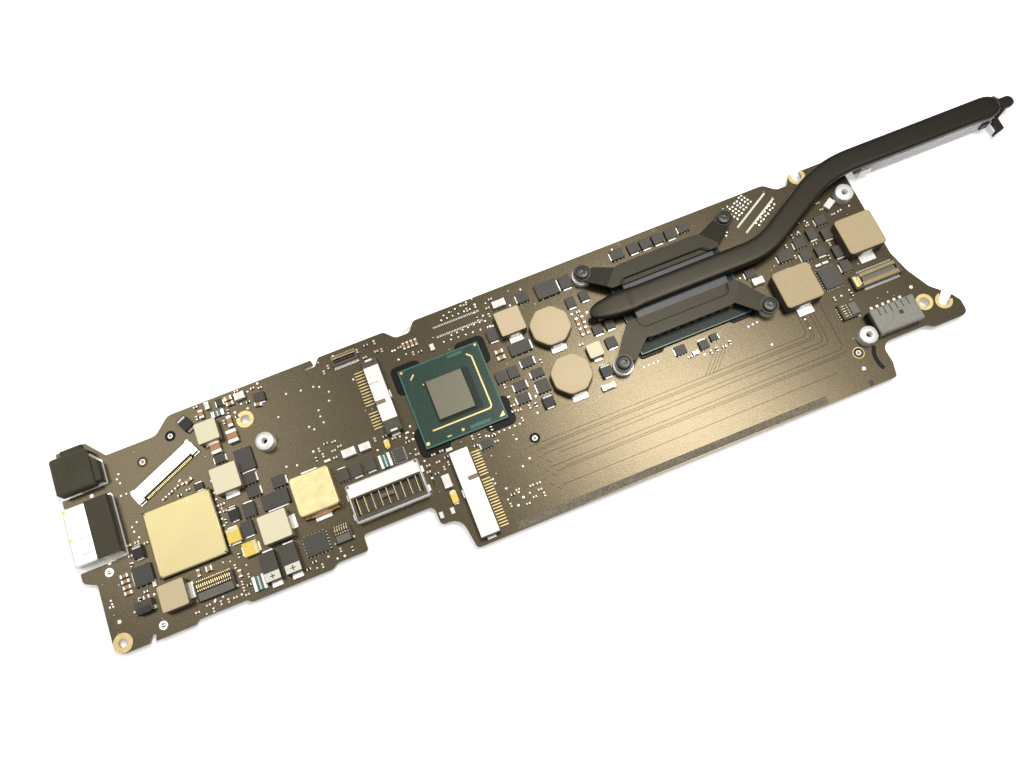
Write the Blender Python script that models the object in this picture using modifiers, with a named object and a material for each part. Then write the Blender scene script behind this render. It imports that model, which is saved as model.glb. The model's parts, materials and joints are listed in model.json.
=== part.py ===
"""Main logic board of a thin laptop with its heat-pipe cooler. Blender 4.5, metres, +Z up.

The layout is in millimetres about the centre of the chipset: X runs along the board, Y towards the
edge that the heat pipe leaves by, and Z up from the board's top face. The empty layout_frame moves
it all so that the world origin is the centre of the base of the assembly's bounding box.
"""

import math

import bmesh
import bpy
from mathutils import Vector

MM = 0.001

# Bounding box of the whole assembly, in the layout's millimetres
LEFT, RIGHT = -100.2, 171.7
NEAR, FAR = -38.5, 23.9
BASE = -2.4

# Vertical stack above the board's top face at Z = 0
BOARD_THICKNESS = 1.0
SOLDER = 0.1
PACKAGE_Z = (0.25, 1.05)
DIE_Z = (1.1, 1.85)
COLD_PLATE_Z = (1.95, 2.75)
BRACKET_Z = (2.8, 3.4)
PIPE_Z = (2.8, 4.8)
SCREW_HEAD_Z = (3.45, 4.3)
POST_TOP = 2.55

# Holes through the board as (centre, radius), the screw holes with the width of their plated rim
SCREW_HOLES = (((-94.5, -27.5), 1.1, 1.25), ((-51.2, 14.2), 1.2, 1.0), ((121.2, -23.5), 1.3, 0.9))
TOOLING_HOLES = (((15.1, -18.5), 0.55), ((99.3, -29.3), 0.55), ((-78.7, 13.5), 0.6), ((-70.3, 17.3), 0.5))
PAD_HEIGHT = 0.05
PAD_SETBACK = 0.1

# Cooler
SCREW_X = (42.9, 83.3)
SCREW_Y = (-9.9, 16.8)
PIPE_HALF_WIDTH = 3.0
PIPE_TIP_X = 40.2
PIPE_LOW_Y, PIPE_HIGH_Y = 5.1, 18.9
PIPE_BEND = math.radians(30.0)
FIN_X = (123.5, 163.5)
FIN_Y = (15.7, 22.1)
FIN_PITCH = 1.5
FIN_WALL = 0.4

# Flip latches: bar thickness, and its clearance to the housing
LATCH_HALF = 0.25
LATCH_GAP = 0.1

ROUND_STEP = math.radians(22.5)


# --- scene, materials and shared tools ------------------------------------------------------------

def clear_scene():
    for obj in list(bpy.data.objects):
        bpy.data.objects.remove(obj)


def new_collection(name):
    collection = bpy.data.collections.new(name)
    bpy.context.scene.collection.children.link(collection)
    return collection


def make_material(name, colour, roughness, metallic):
    material = bpy.data.materials.new(name)
    material.use_nodes = True
    shader = material.node_tree.nodes["Principled BSDF"]
    shader.inputs["Base Color"].default_value = (*colour, 1.0)
    shader.inputs["Roughness"].default_value = roughness
    shader.inputs["Metallic"].default_value = metallic
    return material


clear_scene()
PARTS = new_collection("logic_board_assembly")
CUTTERS = new_collection("cutters")

BOARD_MASK = make_material("board_mask", (0.045, 0.040, 0.028), 0.42, 0.0)
STEEL = make_material("steel", (0.72, 0.70, 0.66), 0.3, 1.0)
LID_METAL = make_material("lid_metal", (0.78, 0.70, 0.52), 0.35, 1.0)
BLACK_PLASTIC = make_material("black_plastic", (0.02, 0.02, 0.02), 0.5, 0.0)
GREY_PLASTIC = make_material("grey_plastic", (0.12, 0.12, 0.11), 0.5, 0.0)
MOULD_COMPOUND = make_material("mould_compound", (0.035, 0.035, 0.037), 0.6, 0.0)
TAN_FERRITE = make_material("tan_ferrite", (0.55, 0.47, 0.34), 0.55, 0.0)
PALE_FERRITE = make_material("pale_ferrite", (0.80, 0.76, 0.66), 0.5, 0.0)
GOLD_FOIL = make_material("gold_foil", (0.80, 0.60, 0.30), 0.3, 1.0)
GREEN_SUBSTRATE = make_material("green_substrate", (0.02, 0.16, 0.13), 0.3, 0.0)
SILICON = make_material("silicon", (0.22, 0.25, 0.25), 0.18, 0.0)
BLACK_COATED_METAL = make_material("black_coated_metal", (0.03, 0.03, 0.028), 0.45, 0.6)
BARE_ALUMINIUM = make_material("bare_aluminium", (0.45, 0.46, 0.48), 0.35, 1.0)
BLACK_FOAM = make_material("black_foam", (0.03, 0.03, 0.028), 0.95, 0.0)


def make_empty(name, location, parent=None, angle=0.0):
    empty = bpy.data.objects.new(name, None)
    empty.location = Vector(location) * MM
    empty.rotation_euler = (0.0, 0.0, angle)
    empty.parent = parent
    PARTS.objects.link(empty)
    return empty


FRAME = make_empty("layout_frame", (-(LEFT + RIGHT) / 2, -(NEAR + FAR) / 2, -BASE))


def add_part(name, mesh, material, location=(0.0, 0.0, 0.0), parent=FRAME, rotation=(0.0, 0.0, 0.0)):
    obj = bpy.data.objects.new(name, mesh)
    obj.location = Vector(location) * MM
    obj.rotation_euler = rotation
    obj.parent = parent
    if material:
        mesh.materials.append(material)
    PARTS.objects.link(obj)
    return obj


def box_mesh(name, size):
    """A box of the given size in millimetres, centred on its origin."""
    mesh = bpy.data.meshes.new(name)
    shape = bmesh.new()
    bmesh.ops.create_cube(shape, size=MM)
    bmesh.ops.scale(shape, vec=size, verts=shape.verts)
    shape.to_mesh(mesh)
    shape.free()
    return mesh


def middle(span):
    return (span[0] + span[1]) / 2


def add_box(name, x, y, z, material, parent=FRAME, bevel=0.0, segments=1):
    """A box between the two values of each of x, y and z, its edges rounded by bevel."""
    size = (x[1] - x[0], y[1] - y[0], z[1] - z[0])
    obj = add_part(name, box_mesh(name, size), material, (middle(x), middle(y), middle(z)), parent)
    if bevel:
        add_bevel(obj, bevel, segments)
    return obj


def add_bevel(obj, width, segments=1):
    bevel = obj.modifiers.new("edges", "BEVEL")
    bevel.width = width * MM
    bevel.segments = segments
    bevel.limit_method = "ANGLE"
    bevel.angle_limit = math.radians(50.0)
    obj.data.shade_smooth()
    obj.data.set_sharp_from_angle(angle=math.radians(35.0))


def combine(obj, other, operation):
    other.hide_render = True
    other.display_type = "WIRE"
    PARTS.objects.unlink(other)
    CUTTERS.objects.link(other)
    boolean = obj.modifiers.new(other.name, "BOOLEAN")
    boolean.operation = operation
    boolean.solver = "EXACT"
    boolean.object = other


def cut_box(obj, x, y, z, parent=FRAME):
    name = f"{obj.name}_cut_{len(obj.modifiers)}"
    combine(obj, add_box(name, x, y, z, None, parent), "DIFFERENCE")


def join_box(obj, x, y, z, parent=FRAME):
    name = f"{obj.name}_join_{len(obj.modifiers)}"
    combine(obj, add_box(name, x, y, z, None, parent), "UNION")


def circle(centre, radius, count=16, start=0.0):
    """Points of a circle in a flat outline."""
    turns = [start + 2 * math.pi * index / count for index in range(count)]
    return [(centre[0] + radius * math.cos(t), centre[1] + radius * math.sin(t)) for t in turns]


def rectangle(x, y):
    return [(x[0], y[0]), (x[1], y[0]), (x[1], y[1]), (x[0], y[1])]


def rounded(corners):
    """Points of a closed outline whose corners (x, y, radius) are turned into arcs."""
    points = []
    for index, (x, y, radius) in enumerate(corners):
        corner = Vector((x, y))
        if radius == 0:
            points.append((x, y))
            continue
        before = (Vector(corners[index - 1][:2]) - corner).normalized()
        after = (Vector(corners[(index + 1) % len(corners)][:2]) - corner).normalized()
        half = before.angle(after) / 2
        centre = corner + (before + after).normalized() * (radius / math.sin(half))
        start = corner + before * (radius / math.tan(half)) - centre
        sweep = math.pi - 2 * half
        if before.cross(after) > 0:
            sweep = -sweep
        count = max(2, math.ceil(abs(sweep) / ROUND_STEP))
        for step in range(count + 1):
            turn = sweep * step / count
            cos, sin = math.cos(turn), math.sin(turn)
            points.append((centre.x + start.x * cos - start.y * sin,
                           centre.y + start.x * sin + start.y * cos))
    return points


def slot_corners(centre, radius, reach, angle):
    """Four outline corners of a round-ended slot whose mouth points along angle."""
    along = Vector((math.cos(angle), math.sin(angle)))
    across = Vector((-along.y, along.x)) * radius
    mouth, bottom = along * reach, along * -radius
    places = ((mouth - across, 0), (bottom - across, 0.99), (bottom + across, 0.99), (mouth + across, 0))
    return [(centre[0] + p.x, centre[1] + p.y, radius * share) for p, share in places]


def add_plate(name, outlines, low, high, material, parent=FRAME, location=(0, 0, 0),
              rotation=(0.0, 0.0, 0.0)):
    """A flat plate between low and high, whose first outline is its edge and the others its holes."""
    curve = bpy.data.curves.new(name, "CURVE")
    curve.dimensions = "2D"
    curve.fill_mode = "BOTH"
    curve.extrude = (high - low) / 2 * MM
    curve.resolution_u = 1
    for outline in outlines:
        spline = curve.splines.new("POLY")
        spline.points.add(len(outline) - 1)
        for point, (x, y) in zip(spline.points, outline):
            point.co = (x * MM, y * MM, 0.0, 1.0)
        spline.use_cyclic_u = True
    guide = bpy.data.objects.new(name + "_outline", curve)
    PARTS.objects.link(guide)
    depsgraph = bpy.context.evaluated_depsgraph_get()
    mesh = bpy.data.meshes.new_from_object(guide.evaluated_get(depsgraph))
    bpy.data.objects.remove(guide)
    mesh.name = name
    mesh.materials.clear()
    shape = bmesh.new()
    shape.from_mesh(mesh)
    bmesh.ops.remove_doubles(shape, verts=shape.verts, dist=0.001 * MM)
    bmesh.ops.dissolve_limit(shape, angle_limit=0.001, verts=shape.verts, edges=shape.edges)
    bmesh.ops.translate(shape, verts=shape.verts, vec=(0.0, 0.0, (low + high) / 2 * MM))
    bmesh.ops.recalc_face_normals(shape, faces=shape.faces)
    shape.to_mesh(mesh)
    shape.free()
    return add_part(name, mesh, material, location, parent, rotation)


def add_turned(name, profile, centre, material, closed):
    """A turned piece. The profile's (radius, height) points run down its outer side."""
    mesh = bpy.data.meshes.new(name)
    shape = bmesh.new()
    verts = [shape.verts.new((radius * MM, 0.0, height * MM)) for radius, height in profile]
    for first, second in zip(verts, verts[1:]):
        shape.edges.new((first, second))
    if closed:
        shape.edges.new((verts[-1], verts[0]))
    shape.to_mesh(mesh)
    shape.free()
    obj = add_part(name, mesh, material, (centre[0], centre[1], 0.0))
    screw = obj.modifiers.new("turn", "SCREW")
    screw.steps = screw.render_steps = 20
    screw.use_merge_vertices = True
    screw.merge_threshold = 0.001 * MM
    return obj


# --- the board ------------------------------------------------------------------------------------

def board_outline():
    """The board's edge, anticlockwise from its lower left corner."""
    lower_left = [
        (-96.9, -30.0, 2.5), (-88.6, -30.0, 0), (-87.5, -28.2, 0.5), (-86.4, -28.2, 0.5), (-86.9, -30.0, 0),
        (-77.0, -30.0, 0.6), (-76.0, -29.1, 0.6), (-64.0, -29.1, 0.6), (-62.8, -30.0, 0.6),
        (-42.3, -30.0, 0.6), (-40.6, -29.0, 0.6), (-32.8, -29.0, 0.7),
        (-32.8, -24.9, 0.9), (-14.4, -24.9, 1.3), (-14.2, -30.0, 1.0), (-9.2, -30.0, 3.3),
        (-8.0, NEAR, 0.9)]
    right = [
        (105.2, NEAR, 0.8), (106.1, -34.5, 0.8), (105.7, -29.2, 2.4), (118.5, -29.2, 1.0),
        (120.5, -30.4, 1.0), (130.0, -30.4, 1.7), (130.0, -26.4, 1.0),
        *slot_corners((126.0, -25.0), 1.3, 2.5, math.radians(45.0)),
        (124.5, -20.0, 4.0), (121.6, -14.0, 6.0), (120.0, -8.0, 4.0), (120.0, 22.8, 1.0)]
    far_edge = [
        *slot_corners((107.9, 21.6), 1.25, 1.2, math.radians(90.0)),
        (105.9, 22.8, 0.3), (104.4, 20.2, 1.2), (101.2, 20.2, 2.2), (98.3, 22.8, 2.4),
        (-2.5, 22.8, 1.5), (-4.4, 20.1, 1.5), (-8.2, 20.1, 1.5), (-10.7, 22.8, 1.5),
        (-28.7, 22.8, 0.5), (-30.3, 20.7, 0.3), (-32.9, 20.7, 0.3), (-32.9, 21.4, 0.3),
        (-30.5, 21.4, 0.4), (-30.8, 22.8, 0.4), (-69.6, 22.8, 2.5), (-73.8, 18.8, 2.5),
        (-87.0, 18.8, 0.6), (-91.3, FAR, 0.5), (-99.0, FAR, 0.4)]
    port_side = [
        (-99.0, 22.3, 0.3), (-92.0, 22.3, 0.4), (-88.0, 17.8, 0.4), (-88.0, 11.4, 0.4),
        (LEFT, 11.4, 0.3), (LEFT, 9.3, 0.3), (-87.7, 9.3, 0.4), (-87.7, -7.8, 0.4),
        (LEFT, -7.8, 0.3), (LEFT, -10.4, 1.4), (-96.9, -11.9, 0.9)]
    return rounded(lower_left + right + far_edge + port_side)


def build_board():
    holes = [circle(centre, radius) for centre, radius, _ in SCREW_HOLES]
    holes += [circle(centre, radius, 8) for centre, radius in TOOLING_HOLES]
    board = add_plate("circuit_board", [board_outline()] + holes, -BOARD_THICKNESS, 0.0, BOARD_MASK)
    for index, (centre, radius, rim) in enumerate(SCREW_HOLES):
        ring = [circle(centre, radius + rim), circle(centre, radius + PAD_SETBACK)]
        pad = add_plate(f"screw_pad_{index + 1}", ring, -0.3, PAD_HEIGHT, None)
        combine(board, pad, "UNION")


# --- ports ----------------------------------------------------------------------------------------

def build_usb_port():
    x, y, z = (-99.7, -88.2), (-7.0, 8.2), (BASE, 3.3)
    wall = 0.4
    shell = add_box("usb_shell", x, y, z, STEEL, bevel=0.5, segments=2)
    inside_y = (y[0] + wall, y[1] - wall)
    inside_z = (z[0] + wall, z[1] - wall)
    cut_box(shell, (x[0] - 1, x[1] - wall), inside_y, inside_z)

    back = x[1] - wall - SOLDER
    block = add_box("usb_tongue", (back - 2.6, back), (inside_y[0] + 0.2, inside_y[1] - 0.2),
                    (inside_z[0] + 0.2, inside_z[1] - 0.2), GREY_PLASTIC)
    join_box(block, (x[0] + 0.8, back - 2.0), (y[0] + 2.0, y[1] - 2.0), (0.5, 2.4))


def build_video_port():
    wall = 0.35
    front, back = -99.5, -88.4
    y, z = (12.3, 20.7), (BASE, 2.7)
    outline = rounded([(front, y[0], 0.6), (back, y[0], 0.4), (back, 17.4, 0.5),
                       (back - 3.0, y[1], 0.5), (front, y[1], 0.6)])
    shell = add_plate("video_port_shell", [outline], *z, STEEL)
    inside_y = (y[0] + wall, y[1] - wall)
    cut_box(shell, (front - 1, back - 3.2), inside_y, (z[0] + wall, z[1] - wall))

    stop = back - 3.3
    block = add_box("video_port_tongue", (stop - 2.0, stop), (inside_y[0] + 0.15, inside_y[1] - 0.15),
                    (z[0] + wall + 0.15, z[1] - wall - 0.15), BLACK_PLASTIC)
    join_box(block, (front + 1.0, stop - 1.5), (13.9, 19.1), (-0.1, 1.1))

    foam = add_box("video_port_foam", (-99.7, -90.0), (11.6, 21.5), (SOLDER, 3.7), BLACK_FOAM, bevel=0.5)
    cut_box(foam, (-101.0, -89.0), (y[0] - 0.15, y[1] + 0.15), (-3.0, z[1] + 0.1))


# --- sockets --------------------------------------------------------------------------------------

def build_display_socket():
    """Coaxial display socket, set at a slant: a plastic body under a sheet-metal cover."""
    frame = make_empty("display_socket_frame", (-73.9, 8.5, 0.0), FRAME, math.radians(24.5))
    body = add_box("display_socket_body", (-9.2, 9.2), (-1.9, 1.7), (SOLDER, 0.9), BLACK_PLASTIC, frame)
    cut_box(body, (-7.4, 7.4), (-3.0, -0.9), (0.45, 2.0), frame)
    cover = add_box("display_socket_cover", (-9.45, 9.45), (-0.7, 1.95), (SOLDER, 1.25), STEEL, frame)
    cut_box(cover, (-9.3, 9.3), (-3.0, 1.8), (-1.0, 1.0), frame)


def build_flip_socket(prefix, centre, angle, width, depth, latch_share):
    """A flat-cable socket. Its latch lies over the cable entry, at -Y in the socket's own frame."""
    top, floor, ear = 1.15, 0.5, 0.45
    frame = make_empty(prefix + "_frame", (*centre, 0.0), FRAME, angle)
    latch_length = depth * latch_share
    pivot_y = -depth / 2 + latch_length - LATCH_HALF
    pivot_z = top - LATCH_HALF
    housing = add_box(prefix + "_housing", (-width / 2, width / 2), (-depth / 2, depth / 2),
                      (SOLDER, top), BLACK_PLASTIC, frame)
    cut_box(housing, (-width / 2 + ear, width / 2 - ear), (-depth, pivot_y + LATCH_HALF + LATCH_GAP),
            (floor, 2.0), frame)

    turns = [math.radians(-90.0 + 30.0 * step) for step in range(7)]
    edge = [(LATCH_HALF * math.cos(turn), LATCH_HALF * math.sin(turn)) for turn in turns]
    tip = LATCH_HALF - latch_length
    edge += [(tip, LATCH_HALF), (tip, -LATCH_HALF * 0.4), (tip + 0.3, -LATCH_HALF)]
    half_bar = width / 2 - ear - LATCH_GAP
    add_plate(prefix + "_latch", [edge], -half_bar, half_bar, GREY_PLASTIC, frame,
              (0.0, pivot_y, pivot_z), (math.pi / 2, 0.0, math.pi / 2))


def build_flip_sockets():
    build_flip_socket("keypad_socket", (-69.9, -23.1), 0.0, 9.8, 4.7, 0.45)
    build_flip_socket("backlight_socket", (-37.3, -23.0), 0.0, 4.6, 3.9, 0.5)
    build_flip_socket("fan_socket", (102.2, -18.2), math.radians(90.0), 4.4, 4.7, 0.45)


def build_battery_socket():
    x, y, top = (-33.0, -13.9), (-22.5, -12.5), 2.5
    wall = 0.25
    roof_edge = -16.0
    shell = add_box("battery_socket_shell", x, y, (SOLDER, top), STEEL, bevel=0.4)
    cut_box(shell, (x[0] + wall, x[1] - wall), (y[0] + wall, y[1] - wall), (-1.0, top - wall))
    cut_box(shell, (x[0] + wall + 0.2, x[1] - wall - 0.2), (y[0] + wall + 0.2, roof_edge), (1.0, 4.0))

    body_x = (x[0] + wall + 0.15, x[1] - wall - 0.15)
    body_y = (y[0] + wall + 0.15, y[1] - wall - 0.15)
    body = add_box("battery_socket_body", body_x, body_y, (SOLDER, top - wall - 0.1), GREY_PLASTIC)
    cut_box(body, (body_x[0] + 0.7, body_x[1] - 0.7), (-20.9, -16.4), (0.7, 4.0))


def build_card_socket(prefix, x, y, cover_y, mouth):
    """A card-edge socket whose slot opens at the side that mouth names, with a metal cover on top."""
    top = 2.25
    body = add_box(prefix + "_body", x, y, (SOLDER, top), BLACK_PLASTIC)
    slot_x = (x[0] - 1.0, x[1] - 1.6) if mouth < 0 else (x[0] + 1.6, x[1] + 1.0)
    cut_box(body, slot_x, (y[0] + 1.2, y[1] - 1.2), (0.8, 1.7))
    cover_x = (x[0] + 0.1, x[1] - 0.1)
    add_box(prefix + "_cover", cover_x, cover_y, (top + 0.05, top + 0.25), STEEL)


def build_io_sockets():
    data = add_box("io_data_socket", (106.5, 119.9), (-14.2, -10.1), (SOLDER, 1.3), BLACK_PLASTIC)
    cut_box(data, (108.9, 118.9), (-13.1, -11.2), (0.6, 3.0))
    power = add_box("io_power_socket", (105.6, 118.0), (-27.8, -20.8), (SOLDER, 3.1), GREY_PLASTIC,
                    bevel=0.3)
    cut_box(power, (107.0, 116.6), (-29.0, -23.4), (1.0, 2.3))


# --- chips, shield can and inductors --------------------------------------------------------------

def build_shield_can():
    x, y, top = (-81.8, -64.4), (-16.9, 0.5), 1.6
    lid = add_box("shield_lid", x, y, (0.3, top), LID_METAL, bevel=0.3)
    cut_box(lid, (x[0] + 0.2, x[1] - 0.2), (y[0] + 0.2, y[1] - 0.2), (-1.0, top - 0.2))
    inner_x, inner_y = (x[0] + 0.35, x[1] - 0.35), (y[0] + 0.35, y[1] - 0.35)
    hole_x, hole_y = (inner_x[0] + 0.3, inner_x[1] - 0.3), (inner_y[0] + 0.3, inner_y[1] - 0.3)
    add_plate("shield_fence", [rectangle(inner_x, inner_y), rectangle(hole_x, hole_y)],
              SOLDER, top - 0.3, STEEL)
    add_box("port_controller_chip", (-77.6, -68.6), (-12.7, -3.7), (SOLDER, 1.0), MOULD_COMPOUND)


def build_chips():
    add_box("chipset_package", (-11.0, 11.0), (-11.3, 10.7), PACKAGE_Z, GREEN_SUBSTRATE)
    add_box("chipset_die", (-5.2, 4.4), (-5.5, 5.2), DIE_Z, SILICON)
    add_box("processor_package", (48.4, 79.4), (-9.1, 14.9), PACKAGE_Z, GREEN_SUBSTRATE)
    add_box("processor_die", (58.0, 70.0), (-1.5, 8.0), DIE_Z, SILICON)
    for index, x in enumerate((18.0, 36.0, 54.0, 72.0)):
        add_box(f"memory_chip_{index + 1}", (x, x + 9.0), (-34.8, -21.5),
                (BASE, -BOARD_THICKNESS - SOLDER), MOULD_COMPOUND)


def build_inductors():
    small = (
        ("inductor_port", (-79.4, -21.8), 6.6, 3.0, TAN_FERRITE),
        ("inductor_display", (-59.6, 0.7), 6.8, 3.0, PALE_FERRITE),
        ("inductor_backlight", (-60.7, 14.1), 5.6, 2.6, PALE_FERRITE),
        ("inductor_charger", (-51.8, -15.4), 7.2, 3.0, PALE_FERRITE),
        ("inductor_memory", (20.7, 11.9), 6.8, 3.0, TAN_FERRITE))
    for name, (x, y), size, top, material in small:
        half = size / 2
        add_box(name, (x - half, x + half), (y - half, y + half), (SOLDER, top), material, bevel=0.6)

    add_box("inductor_foil", (-45.4, -35.0), (-16.1, -5.7), (SOLDER, 3.2), GOLD_FOIL, bevel=0.5)
    for index, (x, y) in enumerate(((92.2, -7.8), (113.7, -0.7))):
        add_box(f"inductor_processor_{index + 1}", (x - 5.2, x + 5.2), (y - 5.1, y + 5.1),
                (SOLDER, 4.0), TAN_FERRITE, bevel=0.9)
    for index, y in enumerate((6.75, -7.25)):
        octagon = circle((29.8, y), 5.6, 8, math.pi / 8)
        coil = add_plate(f"inductor_core_{index + 1}", [octagon], SOLDER, 3.0, TAN_FERRITE)
        add_bevel(coil, 0.3)


# --- cooler and posts -----------------------------------------------------------------------------

def pipe_centre_line():
    """(x, y, half width) from the tapered tip, along the straight, through both bends, to the end."""
    points = []
    for step in range(9):
        turn = math.pi / 2 * step / 8
        reach = PIPE_TIP_X + 10.0 * (1 - math.cos(turn))
        points.append((reach, PIPE_LOW_Y + 0.4 * math.cos(turn), 0.1 + (PIPE_HALF_WIDTH + 0.2) * math.sin(turn)))
    points.append((54.0, PIPE_LOW_Y, PIPE_HALF_WIDTH))
    first_radius, second_radius = 20.0, 30.0
    bend_start = 84.0
    for step in range(7):
        turn = PIPE_BEND * step / 6
        points.append((bend_start + first_radius * math.sin(turn),
                       PIPE_LOW_Y + first_radius * (1 - math.cos(turn)), PIPE_HALF_WIDTH))
    rise = PIPE_HIGH_Y - PIPE_LOW_Y - (first_radius + second_radius) * (1 - math.cos(PIPE_BEND))
    bend_end = (bend_start + (first_radius + second_radius) * math.sin(PIPE_BEND)
                + rise / math.tan(PIPE_BEND))
    for step in range(7):
        turn = PIPE_BEND * (1 - step / 6)
        points.append((bend_end - second_radius * math.sin(turn),
                       PIPE_HIGH_Y - second_radius * (1 - math.cos(turn)), PIPE_HALF_WIDTH + 0.15))
    points.append((163.0, PIPE_HIGH_Y, PIPE_HALF_WIDTH + 0.15))
    points.append((165.5, PIPE_HIGH_Y - 0.3, PIPE_HALF_WIDTH - 0.7))
    return points


def build_heat_pipe():
    line = pipe_centre_line()
    left_side, right_side = [], []
    for index, (x, y, half) in enumerate(line):
        before = Vector(line[max(index - 1, 0)][:2])
        after = Vector(line[min(index + 1, len(line) - 1)][:2])
        along = (after - before).normalized()
        left_side.append((x - along.y * half, y + along.x * half))
        right_side.append((x + along.y * half, y - along.x * half))
    pipe = add_plate("heat_pipe", [right_side + left_side[::-1]], *PIPE_Z, BLACK_COATED_METAL)
    bevel = pipe.modifiers.new("edges", "BEVEL")
    bevel.width = 0.7 * MM
    bevel.segments = 2
    bevel.limit_method = "ANGLE"
    bevel.angle_limit = math.radians(70.0)
    pipe.data.shade_smooth()
    pipe.data.set_sharp_from_angle(angle=math.radians(40.0))


def bracket_outline(side):
    """Spring bracket's edge; side is -1 for the near one and 1 for the far one."""
    screw_y = SCREW_Y[0] if side < 0 else SCREW_Y[1]
    inner_y = -0.2 if side < 0 else 9.7
    outer_y = -6.3 if side < 0 else 15.2
    left, right = SCREW_X
    lug = 2.3
    corners = [
        (left - lug, screw_y + side * lug, lug * 0.95), (left - lug, screw_y - side * lug * 0.9, 1.5),
        (46.9, inner_y + side * 2.0, 1.5), (48.3, inner_y, 1.0),
        (78.9, inner_y, 1.0), (80.3, inner_y + side * 2.0, 1.5),
        (right + lug, screw_y - side * lug * 0.9, 1.5), (right + lug, screw_y + side * lug, lug * 0.95),
        (right - lug, screw_y + side * lug, 1.5), (76.0, outer_y, 2.5),
        (51.5, outer_y, 2.5), (left + lug, screw_y + side * lug, 1.5)]
    return rounded(corners if side > 0 else corners[::-1])


def build_cooler():
    add_box("cold_plate", (51.0, 77.0), (-2.6, 12.4), COLD_PLATE_Z, BLACK_COATED_METAL, bevel=0.2)
    build_heat_pipe()
    for name, side, screw_y in (("spring_bracket_near", -1, SCREW_Y[0]), ("spring_bracket_far", 1, SCREW_Y[1])):
        holes = [circle((x, screw_y), 1.3) for x in SCREW_X]
        add_plate(name, [bracket_outline(side)] + holes, *BRACKET_Z, BLACK_COATED_METAL)

    number = 0
    for y in SCREW_Y:
        for x in SCREW_X:
            number += 1
            head_low, head_high = SCREW_HEAD_Z
            profile = [(0.0, head_high), (1.6, head_high), (1.9, head_high - 0.3), (1.9, head_low),
                       (0.9, head_low), (0.9, 0.3), (0.0, 0.3)]
            add_turned(f"cooler_screw_{number}", profile, (x, y), BLACK_COATED_METAL, False)
            add_post(f"cooler_post_{number}", (x, y), 2.2, 1.05, 2.7)


def add_post(name, centre, radius, bore, top):
    edge = 0.2
    profile = [(bore, top), (radius - edge, top), (radius, top - edge), (radius, SOLDER), (bore, SOLDER)]
    add_turned(name, profile, centre, STEEL, True)


def build_fin_stack():
    """A tunnel block: thin walls between a roof and a floor, open along Y for the air."""
    count = int((FIN_X[1] - FIN_X[0] - FIN_WALL) / FIN_PITCH)
    roof, floor = PIPE_Z[0] - 0.1, BASE
    outlines = [rectangle(FIN_X, (floor, roof))]
    for index in range(count):
        start = FIN_X[0] + FIN_WALL + index * FIN_PITCH
        outlines.append(rectangle((start, start + FIN_PITCH - FIN_WALL), (floor + 0.3, roof - 0.3)))
    add_plate("fin_stack", outlines, -FIN_Y[1], -FIN_Y[0], BARE_ALUMINIUM, rotation=(math.pi / 2, 0.0, 0.0))


def build_fin_bracket():
    """End bracket of the fin stack: a cheek, a locating nose and a hooked tab."""
    cheek_x = (FIN_X[1] + 0.1, FIN_X[1] + 0.9)
    nose_y = (17.7, 20.9)
    outline = rounded([
        (cheek_x[0], 15.5, 0), (162.9, 15.5, 0.2), (162.9, 12.9, 0.1), (161.3, 12.1, 0.1), (161.3, 11.4, 0.1),
        (164.9, 12.4, 0.2), (164.9, 15.6, 0.2), (167.9, 17.2, 0.5), (168.2, nose_y[0], 0.2),
        (RIGHT, nose_y[0], 1.5), (RIGHT, nose_y[1], 1.5), (168.2, nose_y[1], 0.2),
        (167.4, 22.2, 0.5), (cheek_x[0], 22.2, 0.3)])
    bracket = add_plate("fin_bracket", [outline], 0.4, 1.6, BLACK_COATED_METAL)
    join_box(bracket, cheek_x, (16.3, 21.9), (BASE, 2.6))


def build_board_posts():
    add_post("wireless_card_post", (-47.8, 6.1), 2.35, 0.7, POST_TOP)
    add_post("storage_card_post", (103.0, -26.4), 2.35, 0.7, POST_TOP)
    add_post("fan_post", (116.2, 11.6), 2.4, 0.7, POST_TOP)


build_board()
build_usb_port()
build_video_port()
build_display_socket()
build_flip_sockets()
build_battery_socket()
build_card_socket("wireless_socket", (-18.8, -14.6), (-4.1, 16.6), (-0.7, 14.3), -1)
build_card_socket("storage_socket", (-6.3, -1.3), (-37.1, -14.4), (-36.9, -14.6), 1)
build_io_sockets()
build_shield_can()
build_chips()
build_inductors()
build_cooler()
build_fin_stack()
build_fin_bracket()
build_board_posts()
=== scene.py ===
"""Looks of a laptop logic board with its heat-pipe cooler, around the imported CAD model.

Blender 4.5, metres, +Z up. Details are laid out in millimetres about the centre of the chipset, with
Z = 0 on the board's top face: X runs along the board, and Y towards the edge that the heat pipe
leaves by. Piece turns those millimetres into the frame's metres.
"""

import json
import math
import random

import bmesh
import bpy
from mathutils import Matrix, Vector
from mathutils.geometry import tessellate_polygon

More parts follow.
